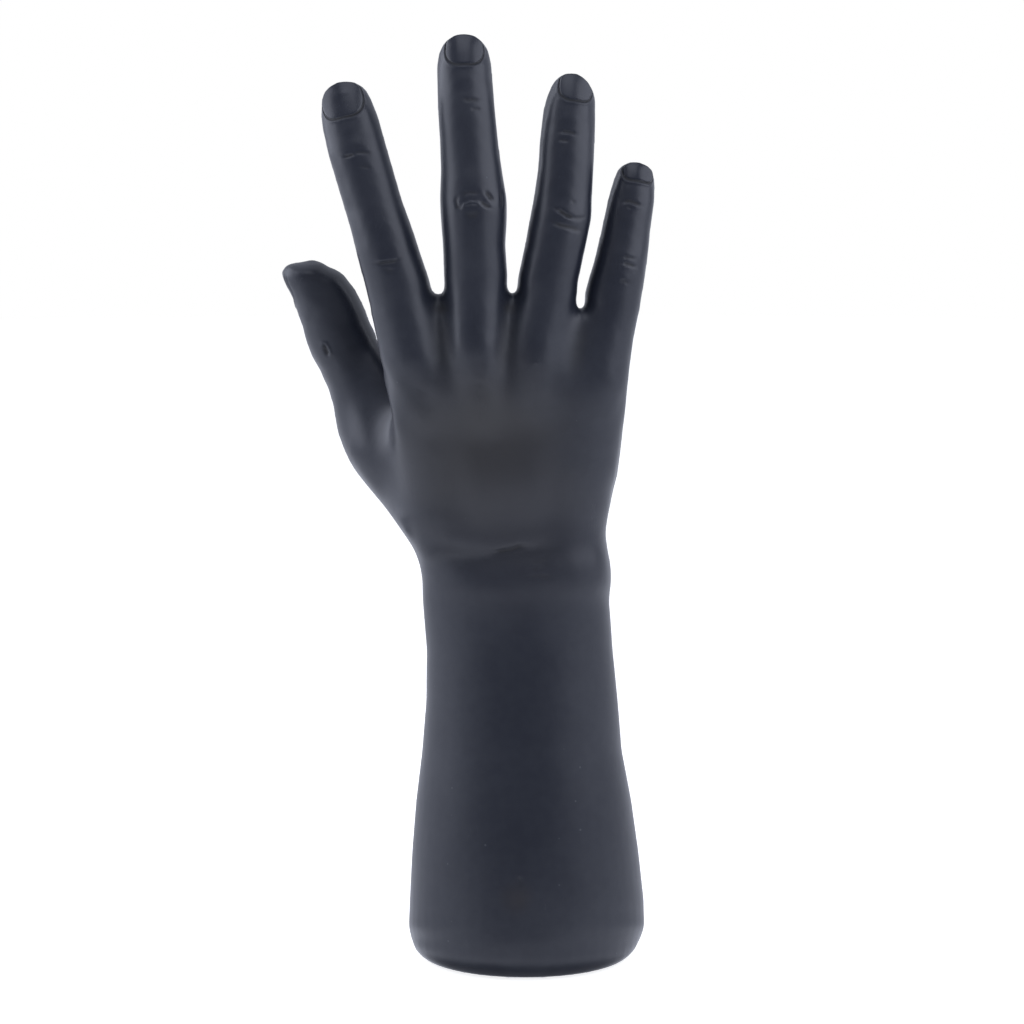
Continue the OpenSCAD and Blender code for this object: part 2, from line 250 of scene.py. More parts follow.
# %% [markdown]
# ## Where the bones are
# A hand is easiest to shape along its bones. The cells below repeat the joints that the CAD
# source works out, so that a nail or a crease is placed by its finger and its distance from a
# joint, not by eye in space.

# %% Joints
WRIST_BEND = radians(10)
WRIST_Z = 152 * MM
PALM_W, PALM_D, PALM_L, PALM_X = 88 * MM, 28 * MM, 74 * MM, -7.5 * MM
FINGER_LEANS = (2, 9, 16)
# bones in mm, how each is turned sideways in degrees, and the knuckle's place in the palm as
# shares of its width, length and depth
FINGERS = {
    "index": ((48, 33.5, 27.5), (-17.2, -16.5, -11), (-0.342, 0.95, -0.02)),
    "middle": ((55, 35, 28.5), (-1.8, -3.4, -2), (-0.117, 1.00, -0.09)),
    "ring": ((49.5, 31, 29.5), (10.8, 6, 4), (0.106, 0.94, -0.06)),
    "little": ((43, 24, 17), (12.5, 10, 8), (0.362, 0.86, 0.06)),
}
# the thumb's bones in mm, how each is turned sideways and how it leans, in degrees
THUMB = ((46, 32, 33), (-46, -17, -20), (15, 6, 0))
THUMB_ROOT = (-26 * MM, 11.5 * MM, 25 / 3 * MM)


def hand_place(x, h, out=0.0):
    """A point across the foot, above the wrist crease and out of the palm's middle plane."""
    return np.array([x, out - h * tan(WRIST_BEND), WRIST_Z + h])


def bone_dir(splay, lean):
    s, t = radians(splay), radians(lean)
    return np.array([sin(s) * cos(t), sin(t), cos(s) * cos(t)])


def bone_chain(start, bones, splays, leans):
    """The joints of a finger, from its bones in mm and how each is turned in degrees."""
    way = [start]
    for bone, splay, lean in zip(bones, splays, leans):
        way.append(way[-1] + bone * MM * bone_dir(splay, lean))
    return way


JOINTS = {}
for name, (bones, splays, (across, up, out)) in FINGERS.items():
    knuckle = hand_place(PALM_X + PALM_W * across, PALM_L * up, PALM_D * out)
    JOINTS[name] = bone_chain(knuckle, bones, splays, FINGER_LEANS)
JOINTS["thumb"] = bone_chain(hand_place(*THUMB_ROOT), *THUMB)
BACK = {name: np.array([0.0, -1.0, 0.0]) for name in FINGERS}
BACK["thumb"] = np.array([-0.99, 0.12, 0.0])
for name, way in JOINTS.items():
    print(name, "ends at", np.round(way[-1] / MM, 1), "mm")


# %% A joint's own directions
def local(name, bone, points):
    """Places along a bone from its lower joint, to its side, and out of its back, in mm."""
    start, end = JOINTS[name][bone], JOINTS[name][bone + 1]
    along = (end - start) / np.linalg.norm(end - start)
    side = np.cross(along, BACK[name])
    side /= np.linalg.norm(side)
    off = (points - start) / MM
    return off @ along, off @ side, off @ np.cross(side, along), along, side


def gap_to(low, high, points):
    """Distance of each point from the straight line between two ends."""
    step = high - low
    share = np.clip((points - low) @ step / (step @ step), 0, 1)
    return np.linalg.norm(points - low - share[:, None] * step, axis=1)


def gap_to_chain(way, points):
    """Distance of each point from a chain of straight lines."""
    return np.min([gap_to(low, high, points) for low, high in zip(way[:-1], way[1:])], 0)


def own_finger(points, reach=13.0):
    """Which finger each point lies on, or none where its nearest bone is further than reach."""
    gaps = np.stack([gap_to_chain(way, points) for way in JOINTS.values()]) / MM
    nearest = np.array(list(JOINTS), dtype=object)[gaps.argmin(0)]
    nearest[gaps.min(0) > reach] = ""
    return nearest


tips = {name: way[-1:] for name, way in JOINTS.items()}
print("whose tips:", {name: str(own_finger(np.array(tip))[0]) for name, tip in tips.items()})

# %% [markdown]
# ## The moulded skin
# The CAD skin is right in size, but its limbs meet in sharp lines, as they would on a wooden
# model. The real hand was sculpted and then cast, so every limb flows into the next. A voxel
# remesh of a copy gives one even skin to work in. The hollow inside is set apart first and put
# back at the end, because nothing in it needs sculpting.


# %% Copy the skin and part it from its hollow
def islands(bm, closed_off):
    """The connected groups of faces that are left without those closed off."""
    left, groups = set(bm.faces) - closed_off, []
    while left:
        start = left.pop()
        group, open_ends = [start], [start]
        while open_ends:
            face = open_ends.pop()
            for edge in face.edges:
                for near in edge.link_faces:
                    if near in left:
                        left.remove(near)
                        group.append(near)
                        open_ends.append(near)
        groups.append(group)
    return groups


def height_of(faces):
    zs = [v.co.z for f in faces for v in f.verts]
    return max(zs) - min(zs)


SEAT_R, SEAT_TOP = 17.15 * MM, 3.9 * MM  # round the plug's seat in the foot
cavity = bmesh.new()
cavity.from_mesh(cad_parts["hand_shell"].data)
bmesh.ops.remove_doubles(cavity, verts=cavity.verts, dist=1e-6)
seat = {
    f for f in cavity.faces
    if f.calc_center_median().to_2d().length < SEAT_R and f.calc_center_median().z < SEAT_TOP
}
outside = max(islands(cavity, seat), key=height_of)
cavity.faces.index_update()
outside_index = {f.index for f in outside}
skin = cavity.copy()
bmesh.ops.delete(cavity, geom=outside, context="FACES")
bmesh.ops.delete(
    skin, geom=[f for f in skin.faces if f.index not in outside_index], context="FACES")
bmesh.ops.holes_fill(skin, edges=[e for e in skin.edges if e.is_boundary], sides=0)
print("outer skin:", len(skin.faces), "faces; hollow and plug seat:", len(cavity.faces))
print("open edges of the skin:", sum(e.is_boundary for e in skin.edges))

# %% [markdown]
# Between the thumb and the index finger lies a flat muscle, which the CAD leaves out because a
# glove's seam passes there. It is added as a rounded wedge of clay before the skin is made even.


# %% The muscle of the thumb's web
def clay(blobs):
    """The skin round a few balls, each given as a middle and a radius in mm."""
    bm = bmesh.new()
    for place, radius in blobs:
        where = Matrix.Translation(place)
        bmesh.ops.create_icosphere(bm, subdivisions=3, radius=radius, matrix=where)
    bmesh.ops.delete(bm, geom=bm.faces[:], context="FACES_ONLY")
    bmesh.ops.delete(bm, geom=bm.edges[:], context="EDGES_FACES")
    bmesh.ops.convex_hull(bm, input=bm.verts[:])
    bmesh.ops.delete(bm, geom=[v for v in bm.verts if not v.link_faces], context="VERTS")
    bmesh.ops.recalc_face_normals(bm, faces=bm.faces[:])
    bmesh.ops.scale(bm, vec=(MM, MM, MM), verts=bm.verts[:])
    made = bpy.data.meshes.new("clay")
    bm.to_mesh(made)
    bm.free()
    return made


MUSCLE = [((-61, 19, 226), 7), ((-45, 7, 204), 6), ((-57, 11, 190), 10), ((-47, 6, 182), 8)]
muscle = clay(MUSCLE)
skin.from_mesh(muscle)
print("muscle:", len(muscle.polygons), "faces,",
      len(muscle.vertices) - len(muscle.edges) + len(muscle.polygons) - 2, "is 0 when closed")
bpy.data.meshes.remove(muscle)

# %% Even out the mesh
VOXEL = 1.5 * MM
raw_mesh = bpy.data.meshes.new("hand_raw")
skin.to_mesh(raw_mesh)
skin.free()
raw = bpy.data.objects.new("hand_raw", raw_mesh)
scene.collection.objects.link(raw)
remesh = raw.modifiers.new("even", "REMESH")
remesh.mode = "VOXEL"
remesh.voxel_size = VOXEL
remesh.adaptivity = 0
mesh = bpy.data.meshes.new_from_object(raw.evaluated_get(bpy.context.evaluated_depsgraph_get()))
mesh.name = "hand_skin"
bpy.data.objects.remove(raw)
print("even skin:", len(mesh.polygons), "quads of", VOXEL / MM, "mm")

# %% [markdown]
# Smoothing comes in three kinds. The first rubs: each round moves points halfway to the middle of
# their neighbours, which wears a form down. The second moves them there and then a little further
# back, so it evens out facets and voxel steps without shrinking the fingers. The third fills only
# hollows, like a fillet of clay pressed into the corner where two limbs meet.


# %% Smoothing tools
def read(owner, name, width, kind=float):
    """One property of all vertices, edges or normals as a table."""
    table = np.empty(len(owner) * width, kind)
    owner.foreach_get(name, table)
    return table.reshape(-1, width)


def normals_of(mesh, points):
    mesh.vertices.foreach_set("co", points.ravel())
    mesh.update()
    return read(mesh.vertex_normals, "vector", 3)


class Web:
    """Which points are neighbours, to average over them quickly."""

    def __init__(self, mesh):
        self.a, self.b = read(mesh.edges, "vertices", 2, np.int32).T
        self.n = len(mesh.vertices)
        self.degree = np.maximum(self.sum_over(np.ones(self.n)), 1)

    def sum_over(self, values):
        return (np.bincount(self.a, values[self.b], self.n)
                + np.bincount(self.b, values[self.a], self.n))

    def average(self, values):
        return np.stack([self.sum_over(v) / self.degree for v in values.T], 1)


def rub_flat(points, web, rounds, weight):
    """Plain smoothing, which wears a form down, by a weight for each point."""
    for _ in range(rounds):
        points = points + 0.5 * weight[:, None] * (web.average(points) - points)
    return points


def even_out(points, web, rounds, weight=1.0):
    """Smoothing that keeps a form's size: each round goes further back than it came."""
    weight = np.broadcast_to(np.asarray(weight, float), (web.n,))[:, None]
    for _ in range(rounds):
        points = points + 0.50 * weight * (web.average(points) - points)
        points = points - 0.52 * weight * (web.average(points) - points)
    return points


def fill_hollows(mesh, points, web, rounds, weight):
    """Presses clay into inside corners: only points that lie below their neighbours move."""
    for _ in range(rounds):
        normals = normals_of(mesh, points)
        gap = web.average(points) - points
        depth = np.maximum((gap * normals).sum(1), 0) * weight
        points = points + 0.9 * normals * depth[:, None]
    return points


def ease(low, high, x):
    """Rises smoothly from 0 at low to 1 at high."""
    t = np.clip((x - low) / (high - low), 0, 1)
    return t * t * (3 - 2 * t)


web = Web(mesh)
points = even_out(read(mesh.vertices, "co", 3), web, 10)
print("points:", web.n, "mean neighbours:", round(float(web.degree.mean()), 2))

# %% Fillet the corners
hand_part = ease(150 * MM, 165 * MM, points[:, 2])
points = fill_hollows(mesh, points, web, 45, 0.25 + 0.75 * hand_part)
points = even_out(points, web, 6)
print("filleted box, mm:", np.round(points.min(0) / MM, 1), np.round(points.max(0) / MM, 1))

# %% [markdown]
# The thumb grows out of the palm without an edge, so the corner between them takes more clay
# than the corners between the fingers, and its whole root is rubbed smooth. So is the skin over
# the small bone at the wrist, the ulna's end.

# %% The thumb's root
ROOT_LINE = np.array([[-57, 10, 196], [-54, 8, 184], [-47, 4, 164]]) * MM
ROOT_REACH, ULNA_REACH = 13 * MM, 15 * MM
ULNA = np.array([23, -18, 152]) * MM
near_root = np.exp(-(gap_to_chain(ROOT_LINE, points) / ROOT_REACH) ** 2)
points = fill_hollows(mesh, points, web, 45, near_root)
near_ulna = np.exp(-(np.linalg.norm(points - ULNA, axis=1) / ULNA_REACH) ** 2)
behind_rim = ease(-10 * MM, -3 * MM, points[:, 1])
points = rub_flat(points, web, 60, np.maximum(near_root * behind_rim, near_ulna))
print("points in the root's reach:", int((near_root > 0.3).sum()))

# %% [markdown]
# ## The outline
# A mould is made by hand, so its outline wanders by a millimetre or two where a formula's
# doesn't. Guides name where the photograph shows the left and right edge of each limb at a few
# heights, and each limb is stretched sideways until its edges lie on them. A nudge then takes
# hold of the skin along a short line and moves it, with less and less grip further away, as a
# sculptor's thumb does.

# %% The photograph as a drawing board
PIXEL = 0.367  # one pixel of the photograph on the hand, in mm
AWAY = np.array([0, cos(CAMERA_TILT), -sin(CAMERA_TILT)])
UPWARD = np.array([0, sin(CAMERA_TILT), cos(CAMERA_TILT)])


def on_photo(points):
    """Where the camera sees each point, in mm on the photograph."""
    off = points - np.array(camera.location)
    depth = off @ AWAY
    focal, middle = camera_data.lens / camera_data.sensor_width * PHOTO_SIDE, PHOTO_SIDE / 2
    place = [middle + focal * off[:, 0] / depth, middle - focal * (off @ UPWARD) / depth]
    return np.stack(place, 1) * PIXEL


def along_line(way, at):
    """Distance to a drawn line, the same with a sign for its side, and the share along it."""
    gap, side, share = np.full(len(at), 1e9), np.zeros(len(at)), np.zeros(len(at))
    lengths = np.linalg.norm(np.diff(way, axis=0), axis=1)
    done = 0.0
    for p, q, length in zip(way[:-1], way[1:], lengths):
        d = (q - p) / length
        t = np.clip((at - p) @ d, 0, length)
        off = at - p - t[:, None] * d
        dist = np.linalg.norm(off, axis=1)
        closer = dist < gap
        gap = np.where(closer, dist, gap)
        side = np.where(closer, off[:, 1] * d[0] - off[:, 0] * d[1], side)
        share = np.where(closer, (done + t) / lengths.sum(), share)
        done += length
    return gap, side, share


print("the foot's middle is seen at", np.round(on_photo(np.zeros((1, 3)))[0] / PIXEL), "pixels")

# %% Guides
# height on the photograph, left edge, right edge, in pixels; None where the edge isn't guided
GUIDES = {
    "index": [(95, 323, 368), (110, 321, 375), (125, 322, 379.5), (155, 328.5, 388),
              (200, 342, 401), (230, 351, 412), (255, 357, 420), (278, 363, 428)],
    "middle": [(50, 440, 487), (65, 437, 490.5), (110, 438, 494), (140, 440, 497),
               (170, 441, 501), (200, 440, 506), (220, 441, 506), (245, 443, 504.5),
               (275, 444, 506.5)],
    "ring": [(80, 555, 586), (95, 547.5, 594), (110, 543.5, 594.5), (140, 540, 594),
             (170, 538, 592.5), (200, 533.5, 591), (218, 530, 590.5), (245, 525, 585),
             (278, 518, 578)],
    "little": [(170, 617.5, 651.5), (185, 612, 654), (200, 608, 653.5), (230, 601.5, 649.5),
               (260, 594.5, 646.5), (290, 585.5, 642)],
    "thumb": [(275, 283, 342), (290, 289, 354), (305, 296, 361.5), (325, 303, 369),
              (340, 307, None), (355, 312.5, None), (370, 320.5, None), (385, 328, None)],
    "side": [(300, 368, None), (325, 374.5, None), (340, 377.5, None), (360, 381, None),
             (380, 384.5, None), (400, 389, None), (415, 392.5, None)],
    "hand": [(310, None, 638), (340, None, 632), (370, 320.5, 628), (385, 328, 626.5),
             (400, 333, 625), (415, 336, 623.5), (430, 338.5, 621.5), (445, 343.5, 620),
             (460, 350, 618), (475, 359.5, 616), (490, 372, 612), (505, 384.5, 609),
             (520, 395.5, 606), (535, 406, 604.5), (550, 415.5, 606.5), (565, 421, 609.5),
             (580, 423.5, 610), (600, 424, 608), (650, 428, 611.5), (700, 427.5, 616.5),
             (750, 423.5, 620.5), (800, 417.5, 630), (850, 413.5, 637), (900, 411, 642.5),
             (930, 410, 643), (950, 417, 633)],
}
# how far the pull takes to set in and to end, in pixels
OPEN_ABOVE = {"side": 20, "hand": 20}
OPEN_BELOW = {"index": 22, "middle": 22, "ring": 22, "little": 22, "thumb": 15, "side": 25}
# how far outside its guides a limb goes on the left and right, because later smoothing shrinks it
WIDER = {"thumb": (1.0, 0.8), "hand": (1.2, 1.2)}
WIDER_ELSE = (0, 0.8)
ROW_STEP, ROW_HALF = 5.0, 4  # rows in which the edges are measured, in pixels
FREE_SIDE = 470.0  # where the pull of a limb ends that has one guided edge, in pixels
print("guided:", {name: len(guide) for name, guide in GUIDES.items()})


# %% Follow the guides
def limb_masks(points):
    """How far each point belongs to each guided limb, from 0 to 1."""
    nearest = own_finger(points, 18)
    masks = {name: nearest == name for name in JOINTS}
    masks["side"] = (nearest != "thumb") * (1 - ease(-9 * MM, 1 * MM, points[:, 1]))
    masks["hand"] = np.ones(len(points))
    return masks


def edge_gaps(at, rows, high, places, pick):
    """How far a limb's edge lies from its guide in each row, evened out along the rows."""
    off = at[:, 0] - np.interp(at[:, 1], high, places)
    gaps = np.array([pick(off[np.abs(at[:, 1] - row) < ROW_HALF]) for row in rows])
    gaps[(rows < high[0] - 1) | (rows > high[-1] + 1)] = 0
    for _ in range(2):
        wide = np.pad(gaps, 1, mode="edge")
        gaps = (wide[:-2] + 2 * gaps + wide[2:]) / 4
    return gaps


def follow_guides(points):
    """Stretches each limb sideways until its edges lie on their guides."""
    moved = {}
    masks = limb_masks(points)
    for name, guide in GUIDES.items():
        mask = np.where(masks[name] > 0)[0]
        belongs = masks[name][mask].astype(float)
        at = on_photo(points[mask]) / PIXEL
        sure = at[belongs > 0.95]
        first, last = guide[0][0], guide[-1][0]
        rows = np.arange(first, last + 1, ROW_STEP)
        pulls, lines = [], []
        for side, pick in ((1, np.min), (2, np.max)):
            known = [row for row in guide if row[side] is not None]
            if not known:
                lines.append(np.full(len(at), FREE_SIDE))
                pulls.append(np.zeros(len(at)))
                continue
            high = [row[0] for row in known]
            spare = WIDER.get(name, WIDER_ELSE)[side - 1]
            places = [row[side] + (spare if side == 2 else -spare) for row in known]
            gaps = edge_gaps(sure, rows, high, places, pick)
            lines.append(np.interp(at[:, 1], high, places))
            pulls.append(np.interp(at[:, 1], rows, gaps))
        share = np.clip((at[:, 0] - lines[0]) / (lines[1] - lines[0]), 0, 1)
        move = belongs * (pulls[0] * (1 - share) + pulls[1] * share)
        if name in OPEN_ABOVE:
            move = move * ease(first, first + OPEN_ABOVE[name], at[:, 1])
        if name in OPEN_BELOW:
            move = move * (1 - ease(last, last + OPEN_BELOW[name], at[:, 1]))
        points[mask, 0] -= move * PIXEL * MM
        moved[name] = round(float(np.abs(move).max()), 1)
    print("moved by at most, pixels:", moved)
    return points


for turn in range(2):
    points = follow_guides(points)

# %% Nudges
# places on the thumb (pixels), how far the grip reaches (mm), the move (pixels right and down)
NUDGES = [
    ([(296, 259), (310, 257), (322, 260)], 5.0, (0, 4.5)),
    ([(303, 258), (315, 259)], 3.5, (0, 2.5)),
    ([(334, 268), (344, 278)], 4.0, (-1.5, 2.0)),
    ([(284, 275), (290, 268)], 3.0, (-1.0, -2.5)),
]
THUMB_END = [(285, 272), (298, 264), (315, 263), (336, 272), (350, 292)]
THUMB_END_REACH = 4.0  # mm


def grip(way, reach, at):
    """How firmly a line on the photograph, in pixels, holds each place within its reach in mm."""
    gap = along_line(np.array(way, float) * PIXEL, at)[0]
    return np.exp(-((gap / reach) ** 2))


on_thumb = own_finger(points) == "thumb"
for way, reach, (right, down) in NUDGES:
    hold = (grip(way, reach, on_photo(points)) * on_thumb)[:, None]
    points = points + hold * PIXEL * MM * np.array([right, 0, -down])
points = even_out(points, web, 2)
near_end = grip(THUMB_END, THUMB_END_REACH, on_photo(points)) * (own_finger(points) == "thumb")
points = even_out(points, web, 40, near_end)
print("nudged box, mm:", np.round(points.min(0) / MM, 1), np.round(points.max(0) / MM, 1))

# %% [markdown]
# ## Finger tips and nails, first the broad form
# A dome that is as round on its back as on its pad leaves no room for a nail, because the nail
# is nearly straight and ends just short of the finger's end. So the back of each tip is made
# fuller first, towards a squarer curve, and its far part is lifted to carry the nail's free edge.
# A nail is placed by its angle round the finger and its distance along the last bone.

# %% Nail sizes
# roll: how far the nail's middle is turned round the finger, in degrees; half: half its width
# round the finger, in degrees; root and edge: where it starts and ends along the last bone, mm;
# drop: how much lower the free edge is than the root, as a share of the finger's half depth,
# which the thumb doesn't have, because only the four fingers' tips are lifted to such an arch
NAILS = {
    "index": {"roll": -12, "half": 51, "root": 12.4, "edge": 26.9, "drop": 0.28},
    "middle": {"roll": 0, "half": 44, "root": 15.0, "edge": 27.8, "drop": 0.26},
    "ring": {"roll": 13, "half": 44, "root": 17.4, "edge": 28.9, "drop": 0.26},
    "little": {"roll": 8, "half": 49, "root": 8.4, "edge": 16.4, "drop": 0.26},
    "thumb": {"roll": -6, "half": 38, "root": 24.0, "edge": 38.0},
}
SHAFT = (0.30, 0.62)  # where the tip's width is measured, as shares of the nail's far edge
nearest = own_finger(points)
for name, nail in NAILS.items():
    s, u, v, _, _ = local(name, 2, points[nearest == name])
    shaft = (s > SHAFT[0] * nail["edge"]) & (s < SHAFT[1] * nail["edge"])
    nail["wide"] = float(np.abs(u[shaft]).max())
    nail["tall"] = float(v[shaft].max())
    nail["end"] = float(s.max())
    print(name, "tip:", {k: round(nail[k], 1) for k in ("wide", "tall", "end")})


# %% Fuller backs of the tips
ROUND, SQUARER = 2, 4.2  # the power of the curve in which a tip ends
ARCH_WIDER = 1.06  # the nail's arch against the finger's own


def nail_frame(name, points):
    """Across and along the nail from its middle line and root, then its own u and v, in mm."""
    nail = NAILS[name]
    s, u, v, along, side = local(name, 2, points)
    angle = np.degrees(np.arctan2(u / nail["wide"], v / nail["tall"])) - nail["roll"]
    across = np.radians(angle) * nail["wide"]
    out = BACK[name] if name in FINGERS else np.cross(side, along)
    return across, s - nail["root"], s, u, v, out


def fuller_tip(name, points):
    """Squares the curve of the finger's back towards its end."""
    nail = NAILS[name]
    _, _, s, u, v, out = nail_frame(name, points)
    t = np.clip((s - nail["end"] + nail["wide"]) / nail["wide"], 0, 1)
    aside = (u / nail["wide"]) ** 2
    now, full = [np.sqrt(np.maximum(1 - t ** power - aside, 0)) for power in (ROUND, SQUARER)]
    return ((full - now) * nail["tall"] * ease(-0.05, 0.45, v / nail["tall"]))[:, None] * out * MM


def nail_arch(name, along, u):
    """The share of the nail's length, and the height of an arch that falls little along it."""
    nail = NAILS[name]
    x = np.clip(along / (nail["edge"] - nail["root"]), 0, 1)
    arch = np.sqrt(np.maximum(1 - (u / (ARCH_WIDER * nail["wide"])) ** 2, 0))
    return x, nail["tall"] * (1 - nail["drop"] * x ** 1.5) * arch


def bed_nail(name, points):
    """Lifts the back of the tip to a nail's own arch, which hardly falls towards its edge."""
    nail = NAILS[name]
    across, along, s, u, v, out = nail_frame(name, points)
    x, target = nail_arch(name, along, u)
    flank = 1 - ease(0.95, 1.35, np.abs(across) / (np.radians(nail["half"]) * nail["wide"]))
    beyond = 1 - ease(nail["edge"] - 0.1, nail["edge"] + 0.9, s)
    lift = np.clip(target - v, 0, 3) * ease(0.1, 0.5, x) * flank * beyond * (v > 0)
    return lift[:, None] * out * MM


for name in FINGERS:
    mine = nearest == name
    points[mine] += fuller_tip(name, points[mine])
    points[mine] += bed_nail(name, points[mine])
points = follow_guides(even_out(points, web, 2))
mesh.vertices.foreach_set("co", points.ravel())
mesh.update()
print("with fuller tips, mm:", np.round(points.max(0) / MM, 1))

# %% [markdown]
# ## Marks on the skin
# Everything finer is drawn with two kinds of pencil. A line on the back of the hand is drawn
# where the photograph shows it, in its pixels, and is pressed straight into the skin that faces
# the camera. A line on the palm is drawn on a plan of the palm, in millimetres, because the
# photograph doesn't show that side. Each line has a width, a depth (or a height, below zero)
# and a lip, which is the skin that a fold pushes up along one of its sides. A bump texture could
# draw the lines too, but it would leave the outline and the mesh itself smooth.

# %% The two drawing boards
def photo_board(points, normals):
    """Places on the photograph in mm, and how much the skin there faces the camera."""
    return on_photo(points), ease(0.0, 0.25, -normals @ AWAY)


def palm_board(points, normals):
    """The palm seen straight on: x across the foot and height, in mm, with down as positive."""
    return np.stack([points[:, 0], -points[:, 2]], 1) / MM, ease(0.0, 0.4, normals[:, 1])


BOARDS = {"photo": photo_board, "palm": palm_board}
STROKES = []


def draw(way, wide=0.6, deep=0.2, lip=0.0, fade=0.3, crease_shade=1.0, board="photo"):
    """Notes a line. lip > 0 raises the skin below or left of it, lip < 0 the other side.

    Each end runs out over the share of the line that fade gives. The last value is its painted
    shade.
    """
    way = np.array(way, float) * (PIXEL if board == "photo" else (1, -1))
    STROKES.append({"board": board, "way": way, "wide": wide, "deep": deep, "lip": lip,
                    "fade": fade, "crease_shade": crease_shade})


print("boards:", list(BOARDS))

# %% [markdown]
# ### Lines on the back of the hand
# The mould shows a few fine folds behind each finger joint, an oval ring round the middle
# finger's knuckle, a small dimple on the thumb, and the fold where the hand bends back from the
# wrist.

# %% Index and middle finger
draw([(343, 157), (349, 156), (355, 154)], 0.55, 0.28, 0.14)
draw([(353, 152.5), (362, 152.5), (371, 153)], 0.6, 0.16)
draw([(358, 165), (364, 167), (371, 168)], 0.6, 0.12)
draw([(374, 264), (383, 263), (393, 261.5), (401, 259)], 0.6, 0.26, -0.20)
draw([(383, 268), (389, 270.5), (395, 270)], 0.7, 0.12)
draw([(462, 97.5), (468, 100), (472, 99.5), (481, 100)], 0.65, 0.24)
draw([(471, 108.5), (481, 109)], 0.5, 0.18)
draw([(460, 195), (470, 192.5), (481, 193)], 0.7, 0.16)
draw([(485, 191), (489.5, 196), (493.5, 201)], 0.65, 0.46, 0.24)
draw([(480, 201), (485, 205), (491, 208)], 0.6, 0.34, 0.12)
draw([(462, 212), (464.5, 205), (471, 203), (478, 203.5), (482, 209)], 0.6, -0.24)
draw([(458, 195), (456, 201), (457.5, 207), (463, 209)], 0.6, 0.24)
draw([(465, 214), (472, 216), (479, 213)], 1.1, 0.20)
draw([(501.5, 188), (502, 200), (501.5, 210)], 0.6, 0.20)
print("strokes so far:", len(STROKES))

# %% Ring and little finger
draw([(560, 131.5), (566, 131.5), (571, 132.5), (577, 134)], 0.55, 0.28, 0.14)
draw([(558, 139.5), (563, 140), (569, 141)], 0.6, 0.20)
draw([(555, 208), (561, 211.5), (567, 215.5), (576, 218)], 0.65, 0.48, 0.30, 0.35)
draw([(571, 217.5), (580, 218), (587, 216.5)], 0.6, 0.14)
draw([(551, 221.5), (560, 225), (570, 227.5), (583, 231)], 0.7, 0.34, 0.14)
draw([(572, 200), (575, 204)], 0.7, 0.12)
draw([(622, 202.5), (629, 201), (634, 202.5), (642, 205.5)], 0.6, 0.34, 0.14)
draw([(626, 205.5), (632, 208.5)], 0.5, 0.12)
draw([(622, 257), (630, 257.5), (636, 259)], 0.6, 0.18)
draw([(622, 263), (629, 264.5), (636, 267)], 0.6, 0.26, 0.12)
draw([(619, 281.5), (625, 281), (629, 284)], 0.7, 0.16)
print("strokes so far:", len(STROKES))

# %% Thumb, valleys and wrist
draw([(324, 345), (325.5, 350), (328.5, 356)], 0.7, 0.40)
draw([(320.5, 348), (322, 343), (326, 343.5), (329.5, 349), (331, 354), (330, 360)],
     0.55, -0.20)
# the valleys between the tendons, deepest in the webs
draw([(440, 300), (441, 330), (443, 355), (445, 388)], 3.2, 1.3, 0, 0.4, 0.6)
draw([(511, 300), (508, 330), (505.5, 352), (504, 384)], 3.2, 1.3, 0, 0.4, 0.6)
draw([(582, 312), (580, 340), (577, 356), (574, 382)], 3.2, 1.1, 0, 0.4, 0.6)
draw([(440, 298), (441, 308), (441, 318)], 2.4, 1.0, 0, 0.5)
draw([(511, 298), (510, 308), (509, 318)], 2.4, 1.0, 0, 0.5)
# the round rise of the hand's back, and the edge over the thumb with a hollow beside it
draw([(450, 486), (560, 482)], 17.0, -2.3, 0, 0.3)
draw([(391, 380), (396, 404), (400, 426), (399, 444)], 2.4, -1.6, 0, 0.4)
draw([(374, 400), (381, 420), (383, 440)], 4.0, 1.4, 0, 0.5, 0)
# the thumb's fuller far side, and the fold across the wrist
draw([(322, 268), (338, 284), (351, 306), (363, 328), (374, 352)], 3.8, -1.5, 0, 0.25)
draw([(418, 560), (440, 556), (460, 558), (480, 559), (500, 557), (520, 554), (545, 551),
      (560, 549), (575, 547)], 3.4, 0.7, 0, 0.25, 0.2)
# the fine creases in that fold and below it, and a nick low on the forearm
draw([(490, 553.5), (501, 551.5), (510, 550), (519, 547), (529, 546.5)], 0.7, 0.32)
draw([(531, 565), (541, 561), (551, 556)], 0.9, 0.14)
draw([(528, 571), (540, 568), (552, 563)], 0.8, 0.10)
draw([(525, 577), (540, 576), (555, 578)], 0.8, 0.12)
draw([(517, 877), (521, 881), (519, 887)], 0.7, 0.10)
print("strokes on the back of the hand:", len(STROKES))

# %% [markdown]
# ### Lines on the palm
# The photograph doesn't show the palm. A hand that is cast from life has the same few folds
# there as any hand: three long lines and a short one below the ring finger, two across the wrist
# and one or two behind each joint.

# %% Palm lines
def draw_palm(way, *size):
    draw(way, *size, board="palm")


draw_palm([(40, 214), (30, 221), (16, 225), (2, 227), (-12, 232), (-22, 240)], 0.8, 0.55, 0.15)
draw_palm([(-46, 219), (-34, 218), (-18, 213), (-2, 206), (14, 198), (24, 191)], 0.8, 0.50, 0.12)
draw_palm([(-46, 217), (-35, 212), (-24, 202), (-17, 188), (-14, 174), (-15, 163)], 0.9, 0.60, 0.15)
draw_palm([(-36, 157), (-20, 155.5), (0, 156), (18, 157.5), (32, 160)], 0.7, 0.45, 0.12)
draw_palm([(-33, 150.5), (-14, 149), (6, 149.5), (28, 152)], 0.6, 0.30)
draw_palm([(2, 231), (10, 228), (20, 228.5)], 0.6, 0.20)
print("strokes with the palm's:", len(STROKES))


